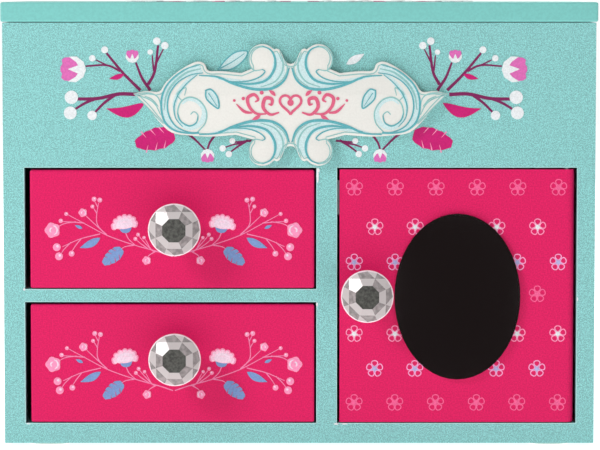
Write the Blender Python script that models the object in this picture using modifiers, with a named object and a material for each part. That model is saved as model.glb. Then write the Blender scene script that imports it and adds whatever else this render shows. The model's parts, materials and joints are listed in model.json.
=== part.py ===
"""Ballerina jewellery box: a paper-covered board case with a lid, two drawers, a mirrored door
and a clockwork movement that turns a dancer on a small stage inside the top tray.

Frame: X runs across the width, -Y is the front, +Z is up, and the feet stand on z = 0.
All dimensions below are in millimetres, and MM turns them into Blender's metres.
"""
import math

import bmesh
import bpy
from mathutils import Matrix, Vector

MM = 0.001
GAP = 0.3                   # clearance between pieces that touch or are glued

# Case
HALF_WIDTH = 119.5
FRONT_Y = -60.0
BACK_Y = 60.0
FRONT_THICKNESS = 6.0
BACK_THICKNESS = 4.0
SIDE_THICKNESS = 5.0
CASE_BOTTOM = 1.5
CASE_TOP = 171.9
BOARD_TOP = 9.7             # top of the bottom board, level with the lower openings
SHELF_LOW, SHELF_HIGH = 60.0, 64.3
TRAY_LOW, TRAY_HIGH = 114.0, 118.0
PARTITION_X = (8.3, 13.9)
PAD_RADIUS, PAD_HEIGHT = 9.0, 1.2
PAD_X, PAD_Y = 102.0, 46.0

# Openings in the front panel: left, right, bottom, top
LOWER_OPENING = (-111.0, 6.9, 9.7, 59.0)
UPPER_OPENING = (-111.0, 6.9, 64.3, 113.5)
DOOR_OPENING = (15.3, 112.2, 9.7, 113.5)

# Lid and its hinges
LID_HALF_WIDTH = 120.25
LID_FRONT_Y, LID_BACK_Y = -60.75, 60.5
LID_LOW, LID_HIGH = 172.2, 180.2
LID_MIRROR_HALF = (100.0, 45.0)
MIRROR_THICKNESS = 2.0
HINGE_Y, HINGE_Z = 62.5, 172.2
HINGE_X = 72.0
LEAF_HALF_WIDTH = 13.0
LEAF_THICKNESS = 1.0
KNUCKLE_RADIUS = 1.8
HINGE_PIN_RADIUS = 0.8
MIDDLE_KNUCKLE_HALF = 5.0

# Door
DOOR = (16.3, 111.2, 10.1, 112.8)
DOOR_PIVOT_X = DOOR[1] - FRONT_THICKNESS / 2
DOOR_PIVOT_Y = FRONT_Y + FRONT_THICKNESS / 2
DOOR_KNOB = (27.2, 62.8)
DOOR_PIN_RADIUS = 1.0
DOOR_PIN_INSET = 5.5
OVAL_CENTRE = (63.9, 61.4)
OVAL_HALF = (25.45, 33.65)

# Drawers
DRAWER_FRONT_X = (-108.8, 6.1)
DRAWER_BOX_X = (-108.0, 5.3)
DRAWER_WALL = 3.0
DRAWER_BOTTOM = 2.0
DRAWER_DEPTH_Z = 42.0
DRAWER_KNOB_X = -49.9
LOWER_FRONT_Z = (10.0, 58.1)
UPPER_FRONT_Z = (64.6, 112.6)
LOWER_BACK_Y = 50.0
UPPER_BACK_Y = 24.0
LOWER_KNOB_Z = 37.3
UPPER_KNOB_Z = 89.5
BAY_PANEL_Y = (25.0, 28.0)

# Faceted knobs and their screws, lengths measured forwards from the knob's foot
KNOB_LENGTH = 19.7
KNOB_RADIUS = 10.5
KNOB_TABLE_RADIUS = 4.8
SCREW_RADIUS = 1.5
SCREW_HOLE_RADIUS = 1.8
SCREW_HEAD = (3.4, 1.8)

# Scroll plaque on the header
PLAQUE_CENTRE = (-3.5, 138.9)
PLAQUE_THICKNESS = 3.0
SCROLL_RADIUS = 5.75
SCROLL_TOP = (11.3, 18.7)
SCROLL_BOTTOM = (11.3, -18.7)

# Movement on the back panel
BARREL_X, BARREL_Z = -8.0, 78.0
BARREL_RADIUS = 11.0
BARREL_LENGTH = 12.0
BARREL_FRONT_Y = 40.4
CROWN_TEETH = 30
CROWN_HEIGHT = 1.2
PINION_TEETH = 10
CYLINDER_Y = 36.0
CYLINDER_RADIUS = 6.0
CYLINDER_Z = (90.5, 107.0)
SPINDLE_RADIUS = 1.5
PINION_Z = (86.6, 88.6)
BEDPLATE = (-34.0, 6.0, 66.0, 111.5)
BEDPLATE_THICKNESS = 3.0
FLY_X, FLY_Y = -24.0, 38.0
ROD_X, ROD_Y = -36.0, 49.2

# Stage, gears and dancer
GEAR_TEETH = 16
GEAR_ROOT, GEAR_TIP = 6.9, 8.5
GEAR_SPACING = 16.0
GEAR_DIRECTION = math.radians(-60.0)    # from the spindle towards the dancer
GEAR_Z = (119.2, 121.2)
DANCER_X = BARREL_X + GEAR_SPACING * math.cos(GEAR_DIRECTION)
DANCER_Y = CYLINDER_Y + GEAR_SPACING * math.sin(GEAR_DIRECTION)
STAGE = (-28.0, 28.0, 8.0, 55.2)
STAGE_TOP = 124.5
STAGE_WALL = 2.0
FIGURE_FOOT_Z = 131.9
DIVIDER_X = (59.5, 62.5)


# ---------------------------------------------------------------- scene and materials

def clear_scene():
    for item in list(bpy.data.objects):
        bpy.data.objects.remove(item, do_unlink=True)


def new_collection(name):
    collection = bpy.data.collections.new(name)
    bpy.context.scene.collection.children.link(collection)
    return collection


def new_material(name, colour, roughness, metallic=0.0):
    material = bpy.data.materials.new(name)
    material.use_nodes = True
    shader = material.node_tree.nodes["Principled BSDF"]
    shader.inputs["Base Color"].default_value = (*colour, 1.0)
    shader.inputs["Roughness"].default_value = roughness
    shader.inputs["Metallic"].default_value = metallic
    material.diffuse_color = (*colour, 1.0)
    return material


clear_scene()
PARTS = new_collection("ballerina_jewellery_box")
CUTTERS = new_collection("ballerina_jewellery_box_cutters")

TURQUOISE = new_material("turquoise_paper_board", (0.27, 0.60, 0.58), 0.55)
LID_TURQUOISE = new_material("turquoise_lid_board", (0.22, 0.60, 0.55), 0.40)
PINK = new_material("pink_paper_board", (0.78, 0.03, 0.14), 0.45)
INNER = new_material("lined_inner_board", (0.75, 0.35, 0.45), 0.90)
CREAM = new_material("printed_plaque_board", (0.87, 0.84, 0.78), 0.50)
MIRROR = new_material("mirror_glass", (0.90, 0.90, 0.92), 0.03, 1.0)
CRYSTAL = new_material("clear_crystal_plastic", (0.85, 0.80, 0.82), 0.05)
BRASS = new_material("brass", (0.80, 0.60, 0.28), 0.30, 1.0)
STEEL = new_material("zinc_plated_steel", (0.62, 0.62, 0.62), 0.35, 1.0)
NYLON = new_material("white_nylon", (0.85, 0.85, 0.82), 0.45)
VELVET = new_material("velvet", (0.70, 0.12, 0.28), 0.95)
TULLE = new_material("tulle", (0.92, 0.62, 0.72), 0.85)
DOLL = new_material("painted_dancer", (0.85, 0.62, 0.52), 0.40)
PAD = new_material("pale_foam_pad", (0.82, 0.81, 0.78), 0.90)


# ---------------------------------------------------------------- shape helpers

def place(piece, material, location, rotation=(0.0, 0.0, 0.0)):
    """Put a new object in the parts collection at a place given in millimetres."""
    piece.data.materials.append(material)
    piece.location = Vector(location) * MM
    piece.rotation_euler = rotation
    PARTS.objects.link(piece)
    return piece


def smooth(piece, angle=35.0):
    piece.data.shade_smooth()
    piece.data.set_sharp_from_angle(angle=math.radians(angle))
    return piece


def bevel(piece, width, segments=2):
    step = piece.modifiers.new("rounded_edges", 'BEVEL')
    step.width = width * MM
    step.segments = segments
    step.limit_method = 'ANGLE'
    step.angle_limit = math.radians(40.0)
    return piece


def box(name, material, x, y, z):
    """A board between pairs of coordinates."""
    mesh = bpy.data.meshes.new(name)
    shape = bmesh.new()
    bmesh.ops.create_cube(shape, size=1.0)
    size = [(high - low) * MM for low, high in (x, y, z)]
    bmesh.ops.scale(shape, vec=size, verts=shape.verts)
    shape.to_mesh(mesh)
    shape.free()
    centre = [(low + high) / 2 for low, high in (x, y, z)]
    return place(bpy.data.objects.new(name, mesh), material, centre)


TURN_TO = {
    'X': (0.0, math.pi / 2, 0.0),
    'Y': (-math.pi / 2, 0.0, 0.0),
    'FRONT': (math.pi / 2, 0.0, 0.0),
    'Z': (0.0, 0.0, 0.0),
}


def rod(name, material, centre, length, radius, axis='Z', sides=24):
    """A plain cylinder around its centre."""
    mesh = bpy.data.meshes.new(name)
    shape = bmesh.new()
    bmesh.ops.create_cone(shape, cap_ends=True, segments=sides, radius1=radius * MM,
                          radius2=radius * MM, depth=length * MM)
    shape.to_mesh(mesh)
    shape.free()
    piece = bpy.data.objects.new(name, mesh)
    return smooth(place(piece, material, centre, TURN_TO[axis]))


def turned(name, material, profile, foot, axis='Z', steps=24, closed=False):
    """A lathe shape: profile points (radius, height) run from its top down its outer side."""
    mesh = bpy.data.meshes.new(name)
    shape = bmesh.new()
    rim = [shape.verts.new((radius * MM, 0.0, height * MM)) for radius, height in profile]
    for above, below in zip(rim, rim[1:]):
        shape.edges.new((above, below))
    if closed:
        shape.edges.new((rim[-1], rim[0]))
    shape.to_mesh(mesh)
    shape.free()
    piece = bpy.data.objects.new(name, mesh)
    spin = piece.modifiers.new("lathe", 'SCREW')
    spin.steps = steps
    spin.render_steps = steps
    spin.use_merge_vertices = True
    spin.merge_threshold = 0.00001
    return place(piece, material, foot, TURN_TO[axis])


def curve_to_mesh(name, curve, material, location, rotation):
    """Turn a curve object into a closed mesh object with welded caps."""
    holder = bpy.data.objects.new(name + "_curve", curve)
    bpy.context.scene.collection.objects.link(holder)
    graph = bpy.context.evaluated_depsgraph_get()
    mesh = bpy.data.meshes.new_from_object(holder.evaluated_get(graph))
    bpy.data.objects.remove(holder, do_unlink=True)
    mesh.materials.clear()
    shape = bmesh.new()
    shape.from_mesh(mesh)
    bmesh.ops.remove_doubles(shape, verts=shape.verts, dist=0.000001)
    bmesh.ops.recalc_face_normals(shape, faces=shape.faces)
    shape.to_mesh(mesh)
    shape.free()
    return place(bpy.data.objects.new(name, mesh), material, location, rotation)


def plate(name, material, outlines, thickness, centre, facing='Z'):
    """A flat piece: closed outlines, the first one outside and the others as holes."""
    curve = bpy.data.curves.new(name, 'CURVE')
    curve.dimensions = '2D'
    curve.fill_mode = 'BOTH'
    curve.extrude = thickness / 2 * MM
    for outline in outlines:
        spline = curve.splines.new('POLY')
        spline.points.add(len(outline) - 1)
        for point, (u, v) in zip(spline.points, outline):
            point.co = (u * MM, v * MM, 0.0, 1.0)
        spline.use_cyclic_u = True
    return curve_to_mesh(name, curve, material, centre, TURN_TO[facing])


def tube(name, material, points, radius, location=(0.0, 0.0, 0.0)):
    """A round wire through points, with filled ends."""
    curve = bpy.data.curves.new(name, 'CURVE')
    curve.dimensions = '3D'
    curve.bevel_depth = radius * MM
    curve.bevel_resolution = 2
    curve.use_fill_caps = True
    spline = curve.splines.new('POLY')
    spline.points.add(len(points) - 1)
    for point, (x, y, z) in zip(spline.points, points):
        point.co = (x * MM, y * MM, z * MM, 1.0)
    return smooth(curve_to_mesh(name, curve, material, location, (0.0, 0.0, 0.0)), 60.0)


def combine(piece, tool, operation):
    """Cut a tool out of a piece, or join it on; the tool itself is hidden."""
    PARTS.objects.unlink(tool)
    CUTTERS.objects.link(tool)
    tool.hide_render = True
    tool.display_type = 'WIRE'
    step = piece.modifiers.new(tool.name, 'BOOLEAN')
    step.operation = operation
    step.object = tool
    return piece


def cut(piece, tool):
    return combine(piece, tool, 'DIFFERENCE')


def join(piece, tool):
    return combine(piece, tool, 'UNION')


def moving_group(name, place_mm, pieces):
    """Parent pieces that move together to an empty on their joint's axis."""
    empty = bpy.data.objects.new(name, None)
    empty.location = Vector(place_mm) * MM
    PARTS.objects.link(empty)
    for piece in pieces:
        piece.parent = empty
        piece.matrix_parent_inverse = Matrix.Translation(-empty.location)


def arc(centre, radius, start, end, steps):
    """Points along an arc, with angles in degrees."""
    points = []
    for step in range(steps + 1):
        angle = math.radians(start + (end - start) * step / steps)
        points.append((centre[0] + radius * math.cos(angle), centre[1] + radius * math.sin(angle)))
    return points


def gear_outline(teeth, root, tip, root_half, tip_half, first_tooth=0.0):
    """A gear with tapered teeth; the half widths are in millimetres, the first tooth in degrees."""
    points = []
    for tooth in range(teeth):
        middle = math.radians(first_tooth) + 2 * math.pi * tooth / teeth
        flank = [(root, -root_half), (tip, -tip_half), (tip, tip_half), (root, root_half)]
        for radius, offset in flank:
            angle = middle + offset / radius
            points.append((radius * math.cos(angle), radius * math.sin(angle)))
    return points


# ---------------------------------------------------------------- case

INNER_HALF = HALF_WIDTH - SIDE_THICKNESS - GAP
INNER_FRONT = FRONT_Y + FRONT_THICKNESS + GAP
INNER_BACK = BACK_Y - BACK_THICKNESS - GAP
INNER_DEPTH = (INNER_FRONT, INNER_BACK)


def make_front_panel():
    panel = box("front_panel", TURQUOISE, (-HALF_WIDTH, HALF_WIDTH),
                (FRONT_Y, FRONT_Y + FRONT_THICKNESS), (CASE_BOTTOM, CASE_TOP))
    openings = {"lower": LOWER_OPENING, "upper": UPPER_OPENING, "door": DOOR_OPENING}
    for name, (left, right, bottom, top) in openings.items():
        cutter = box(name + "_opening", TURQUOISE, (left, right),
                     (FRONT_Y - 5, FRONT_Y + FRONT_THICKNESS + 5), (bottom, top))
        cut(panel, cutter)
    depth = DOOR_PIN_INSET - GAP
    for name, edge, inwards in (("low", DOOR_OPENING[2], -1), ("high", DOOR_OPENING[3], 1)):
        hole = rod(name + "_pivot_hole", TURQUOISE,
                   (DOOR_PIVOT_X, DOOR_PIVOT_Y, edge + inwards * (depth / 2 - 0.5)),
                   depth + 1.0, DOOR_PIN_RADIUS + GAP, sides=16)
        cut(panel, hole)


def make_back_panel():
    panel = box("back_panel", TURQUOISE, (-HALF_WIDTH, HALF_WIDTH),
                (BACK_Y - BACK_THICKNESS, BACK_Y), (CASE_BOTTOM, CASE_TOP))
    cut(panel, rod("arbor_hole_in_back", TURQUOISE, (BARREL_X, BACK_Y, BARREL_Z), 20.0, 2.2, 'Y'))


def make_case_boards():
    box("bottom_board", TURQUOISE, (-INNER_HALF, INNER_HALF), INNER_DEPTH, (CASE_BOTTOM, BOARD_TOP))
    for name, side in (("left_side", -1), ("right_side", 1)):
        edges = sorted((side * HALF_WIDTH, side * (HALF_WIDTH - SIDE_THICKNESS)))
        box(name, TURQUOISE, edges, INNER_DEPTH, (CASE_BOTTOM, CASE_TOP))
    box("centre_partition", INNER, PARTITION_X, INNER_DEPTH, (BOARD_TOP + GAP, TRAY_LOW - GAP))
    behind_drawers = (-INNER_HALF, PARTITION_X[0] - GAP)
    box("drawer_shelf", INNER, behind_drawers, INNER_DEPTH, (SHELF_LOW, SHELF_HIGH))
    box("bay_panel", INNER, behind_drawers, BAY_PANEL_Y, (SHELF_HIGH + GAP, TRAY_LOW - GAP))
    tray = box("tray_floor", INNER, (-INNER_HALF, INNER_HALF), INNER_DEPTH, (TRAY_LOW, TRAY_HIGH))
    middle = (TRAY_LOW + TRAY_HIGH) / 2
    cut(tray, rod("spindle_hole", INNER, (BARREL_X, CYLINDER_Y, middle), 10.0, 2.2))
    cut(tray, rod("stop_rod_hole", INNER, (ROD_X, ROD_Y, middle), 10.0, 1.5, sides=16))


def make_pads():
    for name, x, y in (("front_left", -PAD_X, -PAD_Y), ("front_right", PAD_X, -PAD_Y),
                       ("back_left", -PAD_X, PAD_Y), ("back_right", PAD_X, PAD_Y)):
        rod("foot_pad_" + name, PAD, (x, y, PAD_HEIGHT / 2), PAD_HEIGHT, PAD_RADIUS)


def plaque_outline():
    """Right half of the scroll plaque from its top notch to its bottom notch, then mirrored."""
    lobe = [(0.0, 16.5), (1.3, 16.8), (2.6, 18.3), (3.5, 20.7), (4.6, 22.3), (5.6, 22.7), (6.5, 22.3)]
    right = lobe + arc(SCROLL_TOP, SCROLL_RADIUS, 125, -45, 9)
    right += [(19.8, 12.8), (27.5, 13.6), (33.0, 13.8), (34.6, 16.6), (38.1, 17.3)]
    right += [(44.4, 14.0), (49.9, 9.3), (52.8, 5.4), (58.0, 5.6), (63.15, 4.5)]
    right += [(57.6, -1.0), (53.1, -6.4), (47.8, -11.1), (40.0, -12.3), (32.0, -12.7), (22.0, -12.0)]
    right += arc(SCROLL_BOTTOM, SCROLL_RADIUS, 55, -135, 10)
    right += [(u, -v) for u, v in reversed(lobe)]
    left = [(-u, v) for u, v in reversed(right[1:-1])]
    return right + left


def make_plaque():
    y = FRONT_Y - GAP - PLAQUE_THICKNESS / 2
    plate("plaque", CREAM, [plaque_outline()], PLAQUE_THICKNESS,
          (PLAQUE_CENTRE[0], y, PLAQUE_CENTRE[1]), 'FRONT')


def make_tray_fittings():
    box("tray_divider", INNER, DIVIDER_X, (INNER_FRONT + GAP, INNER_BACK - GAP),
        (TRAY_HIGH + GAP, 146.0))
    cushion = box("ring_cushion", VELVET, (DIVIDER_X[1] + 0.6, INNER_HALF - 0.3),
                  (INNER_FRONT + 0.6, INNER_BACK - 0.6), (TRAY_HIGH + GAP, 136.0))
    bevel(cushion, 5.0, 3)
    left, right, front, back = STAGE
    stage = box("stage_cover", VELVET, (left, right), (front, back), (TRAY_HIGH + GAP, STAGE_TOP))
    hollow = box("stage_hollow", VELVET, (left + STAGE_WALL, right - STAGE_WALL),
                 (front + STAGE_WALL, back - STAGE_WALL), (TRAY_LOW, STAGE_TOP - STAGE_WALL))
    cut(stage, hollow)
    cut(stage, rod("dancer_hole", VELVET, (DANCER_X, DANCER_Y, STAGE_TOP), 10.0, 2.2))


def make_necklace_rail():
    rail = box("necklace_rail", BRASS, (30.0, 100.0), (5.0, 11.0), (107.7, TRAY_LOW - GAP))
    hook = [(6.0, 108.5), (6.0, 101.0), (1.0, 101.0), (1.0, 105.0), (-1.0, 105.0), (-1.0, 99.0),
            (8.2, 99.0), (8.2, 108.5)]
    for number in range(4):
        shape = plate("hook_%d" % number, BRASS, [hook], 3.0, (40.0 + 17.0 * number, 0.0, 0.0))
        shape.rotation_euler = (math.pi / 2, 0.0, math.pi / 2)
        join(rail, shape)


# ---------------------------------------------------------------- lid

def make_lid():
    lid = box("lid_board", LID_TURQUOISE, (-LID_HALF_WIDTH, LID_HALF_WIDTH),
              (LID_FRONT_Y, LID_BACK_Y), (LID_LOW, LID_HIGH))
    bevel(lid, 0.8)
    mirror = box("lid_mirror", MIRROR, (-LID_MIRROR_HALF[0], LID_MIRROR_HALF[0]),
                 (-LID_MIRROR_HALF[1], LID_MIRROR_HALF[1]),
                 (LID_LOW - GAP - MIRROR_THICKNESS, LID_LOW - GAP))
    leaves = [make_hinge(name, side * HINGE_X) for name, side in (("left", -1), ("right", 1))]
    moving_group("lid_axis", (0.0, HINGE_Y, HINGE_Z), [lid, mirror] + leaves)


def make_hinge(side, x):
    """A butt hinge on the back edge; returns the leaf that rides on the lid."""
    wide, narrow = LEAF_HALF_WIDTH, MIDDLE_KNUCKLE_HALF
    tab_inset = 0.5
    outer_start, outer_end = narrow + GAP, wide - tab_inset
    tab_start = outer_start + tab_inset
    low, plate_edge, tab_edge = HINGE_Z - 14.0, HINGE_Z - 2.1, HINGE_Z - 0.9
    case_outline = [(-wide, low), (wide, low), (wide, plate_edge), (wide - 1.0, plate_edge),
                    (wide - 1.0, tab_edge), (tab_start, tab_edge), (tab_start, plate_edge),
                    (-tab_start, plate_edge), (-tab_start, tab_edge), (1.0 - wide, tab_edge),
                    (1.0 - wide, plate_edge), (-wide, plate_edge)]
    case_leaf = plate("hinge_case_leaf_" + side, BRASS, [case_outline], LEAF_THICKNESS,
                      (x, BACK_Y + GAP + LEAF_THICKNESS / 2, 0.0), 'FRONT')
    for end in (-1, 1):
        centre = x + end * (outer_start + outer_end) / 2
        join(case_leaf, rod("case_knuckle_%s_%d" % (side, end), BRASS, (centre, HINGE_Y, HINGE_Z),
                            outer_end - outer_start, KNUCKLE_RADIUS, 'X', 16))
    join(case_leaf, rod("hinge_pin_" + side, BRASS, (x, HINGE_Y, HINGE_Z), 2 * outer_start + 4.0,
                        HINGE_PIN_RADIUS, 'X', 12))

    depth = (LID_BACK_Y + GAP, LID_BACK_Y + GAP + LEAF_THICKNESS)
    lid_leaf = box("hinge_lid_leaf_" + side, BRASS, (x - wide, x + wide), depth,
                   (HINGE_Z + 2.1, LID_HIGH - 0.6))
    tab = narrow - tab_inset
    join(lid_leaf, box("lid_leaf_tab_" + side, BRASS, (x - tab, x + tab), depth,
                       (HINGE_Z + 1.3, HINGE_Z + 3.0)))
    knuckle = turned("lid_knuckle_" + side, BRASS,
                     [(KNUCKLE_RADIUS, narrow), (KNUCKLE_RADIUS, -narrow),
                      (HINGE_PIN_RADIUS + GAP, -narrow), (HINGE_PIN_RADIUS + GAP, narrow)],
                     (x, HINGE_Y, HINGE_Z), 'X', 16, closed=True)
    join(lid_leaf, knuckle)
    return lid_leaf


# ---------------------------------------------------------------- knobs, drawers and door

def make_knob(name, x, z):
    """A faceted knob and the screw that holds it, on a front board with its face at FRONT_Y."""
    foot = (x, FRONT_Y - GAP, z)
    tip, rim = KNOB_TABLE_RADIUS, KNOB_RADIUS
    knob = turned(name, CRYSTAL, [(0.0, KNOB_LENGTH), (tip, KNOB_LENGTH), (rim, 13.0),
                                  (rim - 0.2, 12.0), (5.0, 3.4), (6.5, 1.6), (6.5, 0.0),
                                  (SCREW_HOLE_RADIUS, 0.0), (SCREW_HOLE_RADIUS, 7.0), (0.0, 7.0)],
                  foot, 'FRONT', 16)
    head_top = -FRONT_THICKNESS - 2 * GAP
    head_radius, head_height = SCREW_HEAD
    screw = turned(name + "_screw", STEEL,
                   [(0.0, 6.2), (SCREW_RADIUS, 6.2), (SCREW_RADIUS, head_top),
                    (head_radius, head_top), (head_radius, head_top - head_height),
                    (0.0, head_top - head_height)], foot, 'FRONT', 12)
    return [smooth(knob, 10.0), smooth(screw)]


def screw_hole(name, x, z):
    return rod(name, STEEL, (x, FRONT_Y, z), 20.0, SCREW_HOLE_RADIUS, 'Y', 12)


def make_drawer(name, front_z, knob_z, back_y):
    front = box(name + "_front", PINK, DRAWER_FRONT_X, (FRONT_Y, FRONT_Y + FRONT_THICKNESS), front_z)
    bevel(front, 0.8)
    cut(front, screw_hole(name + "_screw_hole", DRAWER_KNOB_X, knob_z))
    left, right = DRAWER_BOX_X
    low = front_z[0] + DRAWER_BOTTOM + GAP
    walls = (low, front_z[0] + DRAWER_DEPTH_Z)
    run = (INNER_FRONT, back_y - DRAWER_WALL - GAP)
    pieces = [
        front,
        box(name + "_left", INNER, (left, left + DRAWER_WALL), run, walls),
        box(name + "_right", INNER, (right - DRAWER_WALL, right), run, walls),
        box(name + "_back", INNER, (left, right), (back_y - DRAWER_WALL, back_y), walls),
        box(name + "_bottom", INNER, (left, right), (INNER_FRONT, back_y),
            (front_z[0], front_z[0] + DRAWER_BOTTOM)),
    ]
    pieces += make_knob(name + "_knob", DRAWER_KNOB_X, knob_z)
    moving_group(name + "_axis", (DRAWER_KNOB_X, FRONT_Y, knob_z), pieces)


def make_door():
    left, _, bottom, top = DOOR
    half = FRONT_THICKNESS / 2
    outline = [(left, half), (left, -half)] + arc((DOOR_PIVOT_X, 0.0), half, -90, 90, 10)
    door = plate("door_panel", PINK, [outline], top - bottom, (0.0, DOOR_PIVOT_Y, (bottom + top) / 2))
    pivot_depth = DOOR_PIN_INSET + 0.5
    pieces = [door]
    for name, edge, outwards in (("lower", bottom, -1), ("upper", top, 1)):
        cut(door, rod(name + "_pin_hole", STEEL,
                      (DOOR_PIVOT_X, DOOR_PIVOT_Y, edge + outwards * (0.5 - pivot_depth / 2)),
                      pivot_depth + 1.0, DOOR_PIN_RADIUS + GAP, sides=16))
        middle = edge + outwards * 0.2
        pieces.append(rod("door_pin_" + name, STEEL, (DOOR_PIVOT_X, DOOR_PIVOT_Y, middle), 10.2,
                          DOOR_PIN_RADIUS, sides=16))
    cut(door, screw_hole("door_screw_hole", *DOOR_KNOB))
    oval = [(OVAL_HALF[0] * x, OVAL_HALF[1] * y) for x, y in arc((0, 0), 1.0, 0, 352.5, 47)]
    pieces.append(plate("door_mirror", MIRROR, [oval], MIRROR_THICKNESS,
                        (OVAL_CENTRE[0], FRONT_Y - GAP - MIRROR_THICKNESS / 2, OVAL_CENTRE[1]), 'FRONT'))
    pieces.append(box("door_strike_plate", STEEL, (17.5, 30.0), (INNER_FRONT, INNER_FRONT + 1.0),
                      (94.0, 108.0)))
    pieces += make_knob("door_knob", *DOOR_KNOB)
    moving_group("door_axis", (DOOR_PIVOT_X, DOOR_PIVOT_Y, 0.0), pieces)
    box("catch_magnet", STEEL, (PARTITION_X[1] + GAP, 22.0), (INNER_FRONT + 1.0 + GAP, -45.0),
        (94.0, 108.0))


# ---------------------------------------------------------------- movement

def make_movement_frame():
    left, right, low, high = BEDPLATE
    back = INNER_BACK
    face = back - BEDPLATE_THICKNESS
    bed = box("movement_bedplate", STEEL, (left, right), (face, back), (low, high))
    cut(bed, rod("arbor_hole_in_bed", STEEL, (BARREL_X, back, BARREL_Z), 20.0, 2.2, 'Y'))

    frame_outline = [(face - GAP, 90.0), (face - GAP, 108.0), (33.0, 108.0), (33.0, 106.0),
                     (47.0, 106.0), (47.0, 92.0), (33.0, 92.0), (33.0, 90.0)]
    frame = plate("governor_frame", NYLON, [frame_outline], 8.0, (FLY_X, 0.0, 0.0))
    frame.rotation_euler = (math.pi / 2, 0.0, math.pi / 2)

    fly = turned("governor_fly", NYLON, [(0.0, 13.4), (0.7, 13.4), (0.7, 5.0), (1.5, 5.0),
                                         (1.5, 1.5), (0.7, 1.5), (0.7, 0.0), (0.0, 0.0)],
                 (FLY_X, FLY_Y, 92.3), steps=12)
    join(fly, box("fly_vane", NYLON, (FLY_X - 5.0, FLY_X + 5.0), (FLY_Y - 0.4, FLY_Y + 0.4),
                  (98.5, 104.0)))
    make_comb(face - GAP)


def make_comb(block_back):
    """A steel comb whose teeth end just clear of the pinned cylinder."""
    tip = BARREL_X + CYLINDER_RADIUS + 0.4
    heel, low, high = 6.5, 90.5, 107.0
    teeth = 9
    pitch = (high - low) / teeth
    outline = [(heel, low), (heel, high)]
    for tooth in reversed(range(teeth)):
        base = low + tooth * pitch
        outline += [(tip, base + 0.85 * pitch), (tip, base + 0.15 * pitch)]
        if tooth:
            outline += [(tip + 4.0, base + 0.15 * pitch), (tip + 4.0, base - 0.15 * pitch)]
    comb = plate("comb", STEEL, [outline], 1.0, (0.0, CYLINDER_Y, 0.0), 'FRONT')
    join(comb, box("comb_block", STEEL, (3.5, heel), (CYLINDER_Y, block_back), (low, high)))


def make_barrel():
    """A drum open towards the bedplate, with radial crown teeth on its front face."""
    length, radius = BARREL_LENGTH, BARREL_RADIUS
    foot = (BARREL_X, BARREL_FRONT_Y + length, BARREL_Z)
    barrel = turned("spring_barrel", BRASS,
                    [(0.0, length), (radius, length), (radius, 0.0), (radius - 1, 0.0),
                     (radius - 1, length - 2), (0.0, length - 2)], foot, 'FRONT', 30)
    half_pitch = 180.0 / CROWN_TEETH
    crown = plate("crown_teeth", BRASS,
                  [gear_outline(CROWN_TEETH, 8.2, 10.6, 0.45, 0.35, 90.0 + half_pitch)],
                  CROWN_HEIGHT + 0.5,
                  (BARREL_X, BARREL_FRONT_Y - CROWN_HEIGHT / 2 + 0.25, BARREL_Z), 'FRONT')
    join(barrel, crown)

    outer, inner = [], []
    turns, per_turn, thickness = 3, 18, 0.6
    for step in range(turns * per_turn + 1):
        angle = 2 * math.pi * step / per_turn
        radius = 3.0 + 5.6 * step / (turns * per_turn)
        outer.append(((radius + thickness) * math.cos(angle), (radius + thickness) * math.sin(angle)))
        inner.append((radius * math.cos(angle), radius * math.sin(angle)))
    spring = plate("mainspring", STEEL, [outer + inner[::-1]], 8.0,
                   (BARREL_X, foot[1] - 5.0, BARREL_Z), 'FRONT')
    moving_group("barrel_axis", foot, [barrel, spring])


def make_winding_key():
    """Arbor from inside the barrel to a two-winged key behind the back panel."""
    start, hub_start, hub_end = 43.5, BACK_Y + 0.8, 70.0
    key = turned("winding_key", BRASS,
                 [(0.0, hub_end - start), (3.2, hub_end - start), (3.2, hub_start - start),
                  (1.6, hub_start - start), (1.6, 0.0), (0.0, 0.0)],
                 (BARREL_X, start, BARREL_Z), 'Y', 16)
    wings = [(-2.4, 66.0), (2.4, 66.0)] + arc((4.5, 74.5), 5.5, -60, 90, 6)
    wings += arc((-4.5, 74.5), 5.5, 90, 240, 6)
    bow = plate("key_bow", BRASS, [wings], 2.2, (BARREL_X, 0.0, BARREL_Z))
    join(key, bow)
    smooth(key)


def make_cylinder():
    low, high = CYLINDER_Z
    foot_z, spindle_top = 84.0, 122.0
    spindle = SPINDLE_RADIUS
    cylinder = turned("pin_cylinder", BRASS,
                      [(0.0, spindle_top - foot_z), (spindle, spindle_top - foot_z),
                       (spindle, high - foot_z), (CYLINDER_RADIUS, high - foot_z),
                       (CYLINDER_RADIUS, low - foot_z), (spindle, low - foot_z), (spindle, 0.0),
                       (0.0, 0.0)], (BARREL_X, CYLINDER_Y, foot_z))
    pinion = plate("pinion_teeth", BRASS,
                   [gear_outline(PINION_TEETH, 2.6, 3.77, 0.5, 0.28, 90.0)],
                   PINION_Z[1] - PINION_Z[0], (BARREL_X, CYLINDER_Y, sum(PINION_Z) / 2))
    join(cylinder, pinion)

    towards = math.degrees(GEAR_DIRECTION)
    outline = gear_outline(GEAR_TEETH, GEAR_ROOT, GEAR_TIP, 0.75, 0.4, towards)
    bore = arc((0.0, 0.0), SPINDLE_RADIUS + GAP, 0, 337.5, 15)
    gear = plate("drive_gear", NYLON, [outline, bore], GEAR_Z[1] - GEAR_Z[0],
                 (BARREL_X, CYLINDER_Y, sum(GEAR_Z) / 2))
    moving_group("cylinder_axis", (BARREL_X, CYLINDER_Y, foot_z), [cylinder, gear])


def make_stop_rod():
    tube("stop_rod", STEEL, [(-30.6, 41.0, 99.0), (-34.8, 47.5, 99.0), (-35.7, 48.8, 99.7),
                             (ROD_X, ROD_Y, 101.4), (ROD_X, ROD_Y, 171.4)], 0.9)


# ---------------------------------------------------------------- dancer

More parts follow.
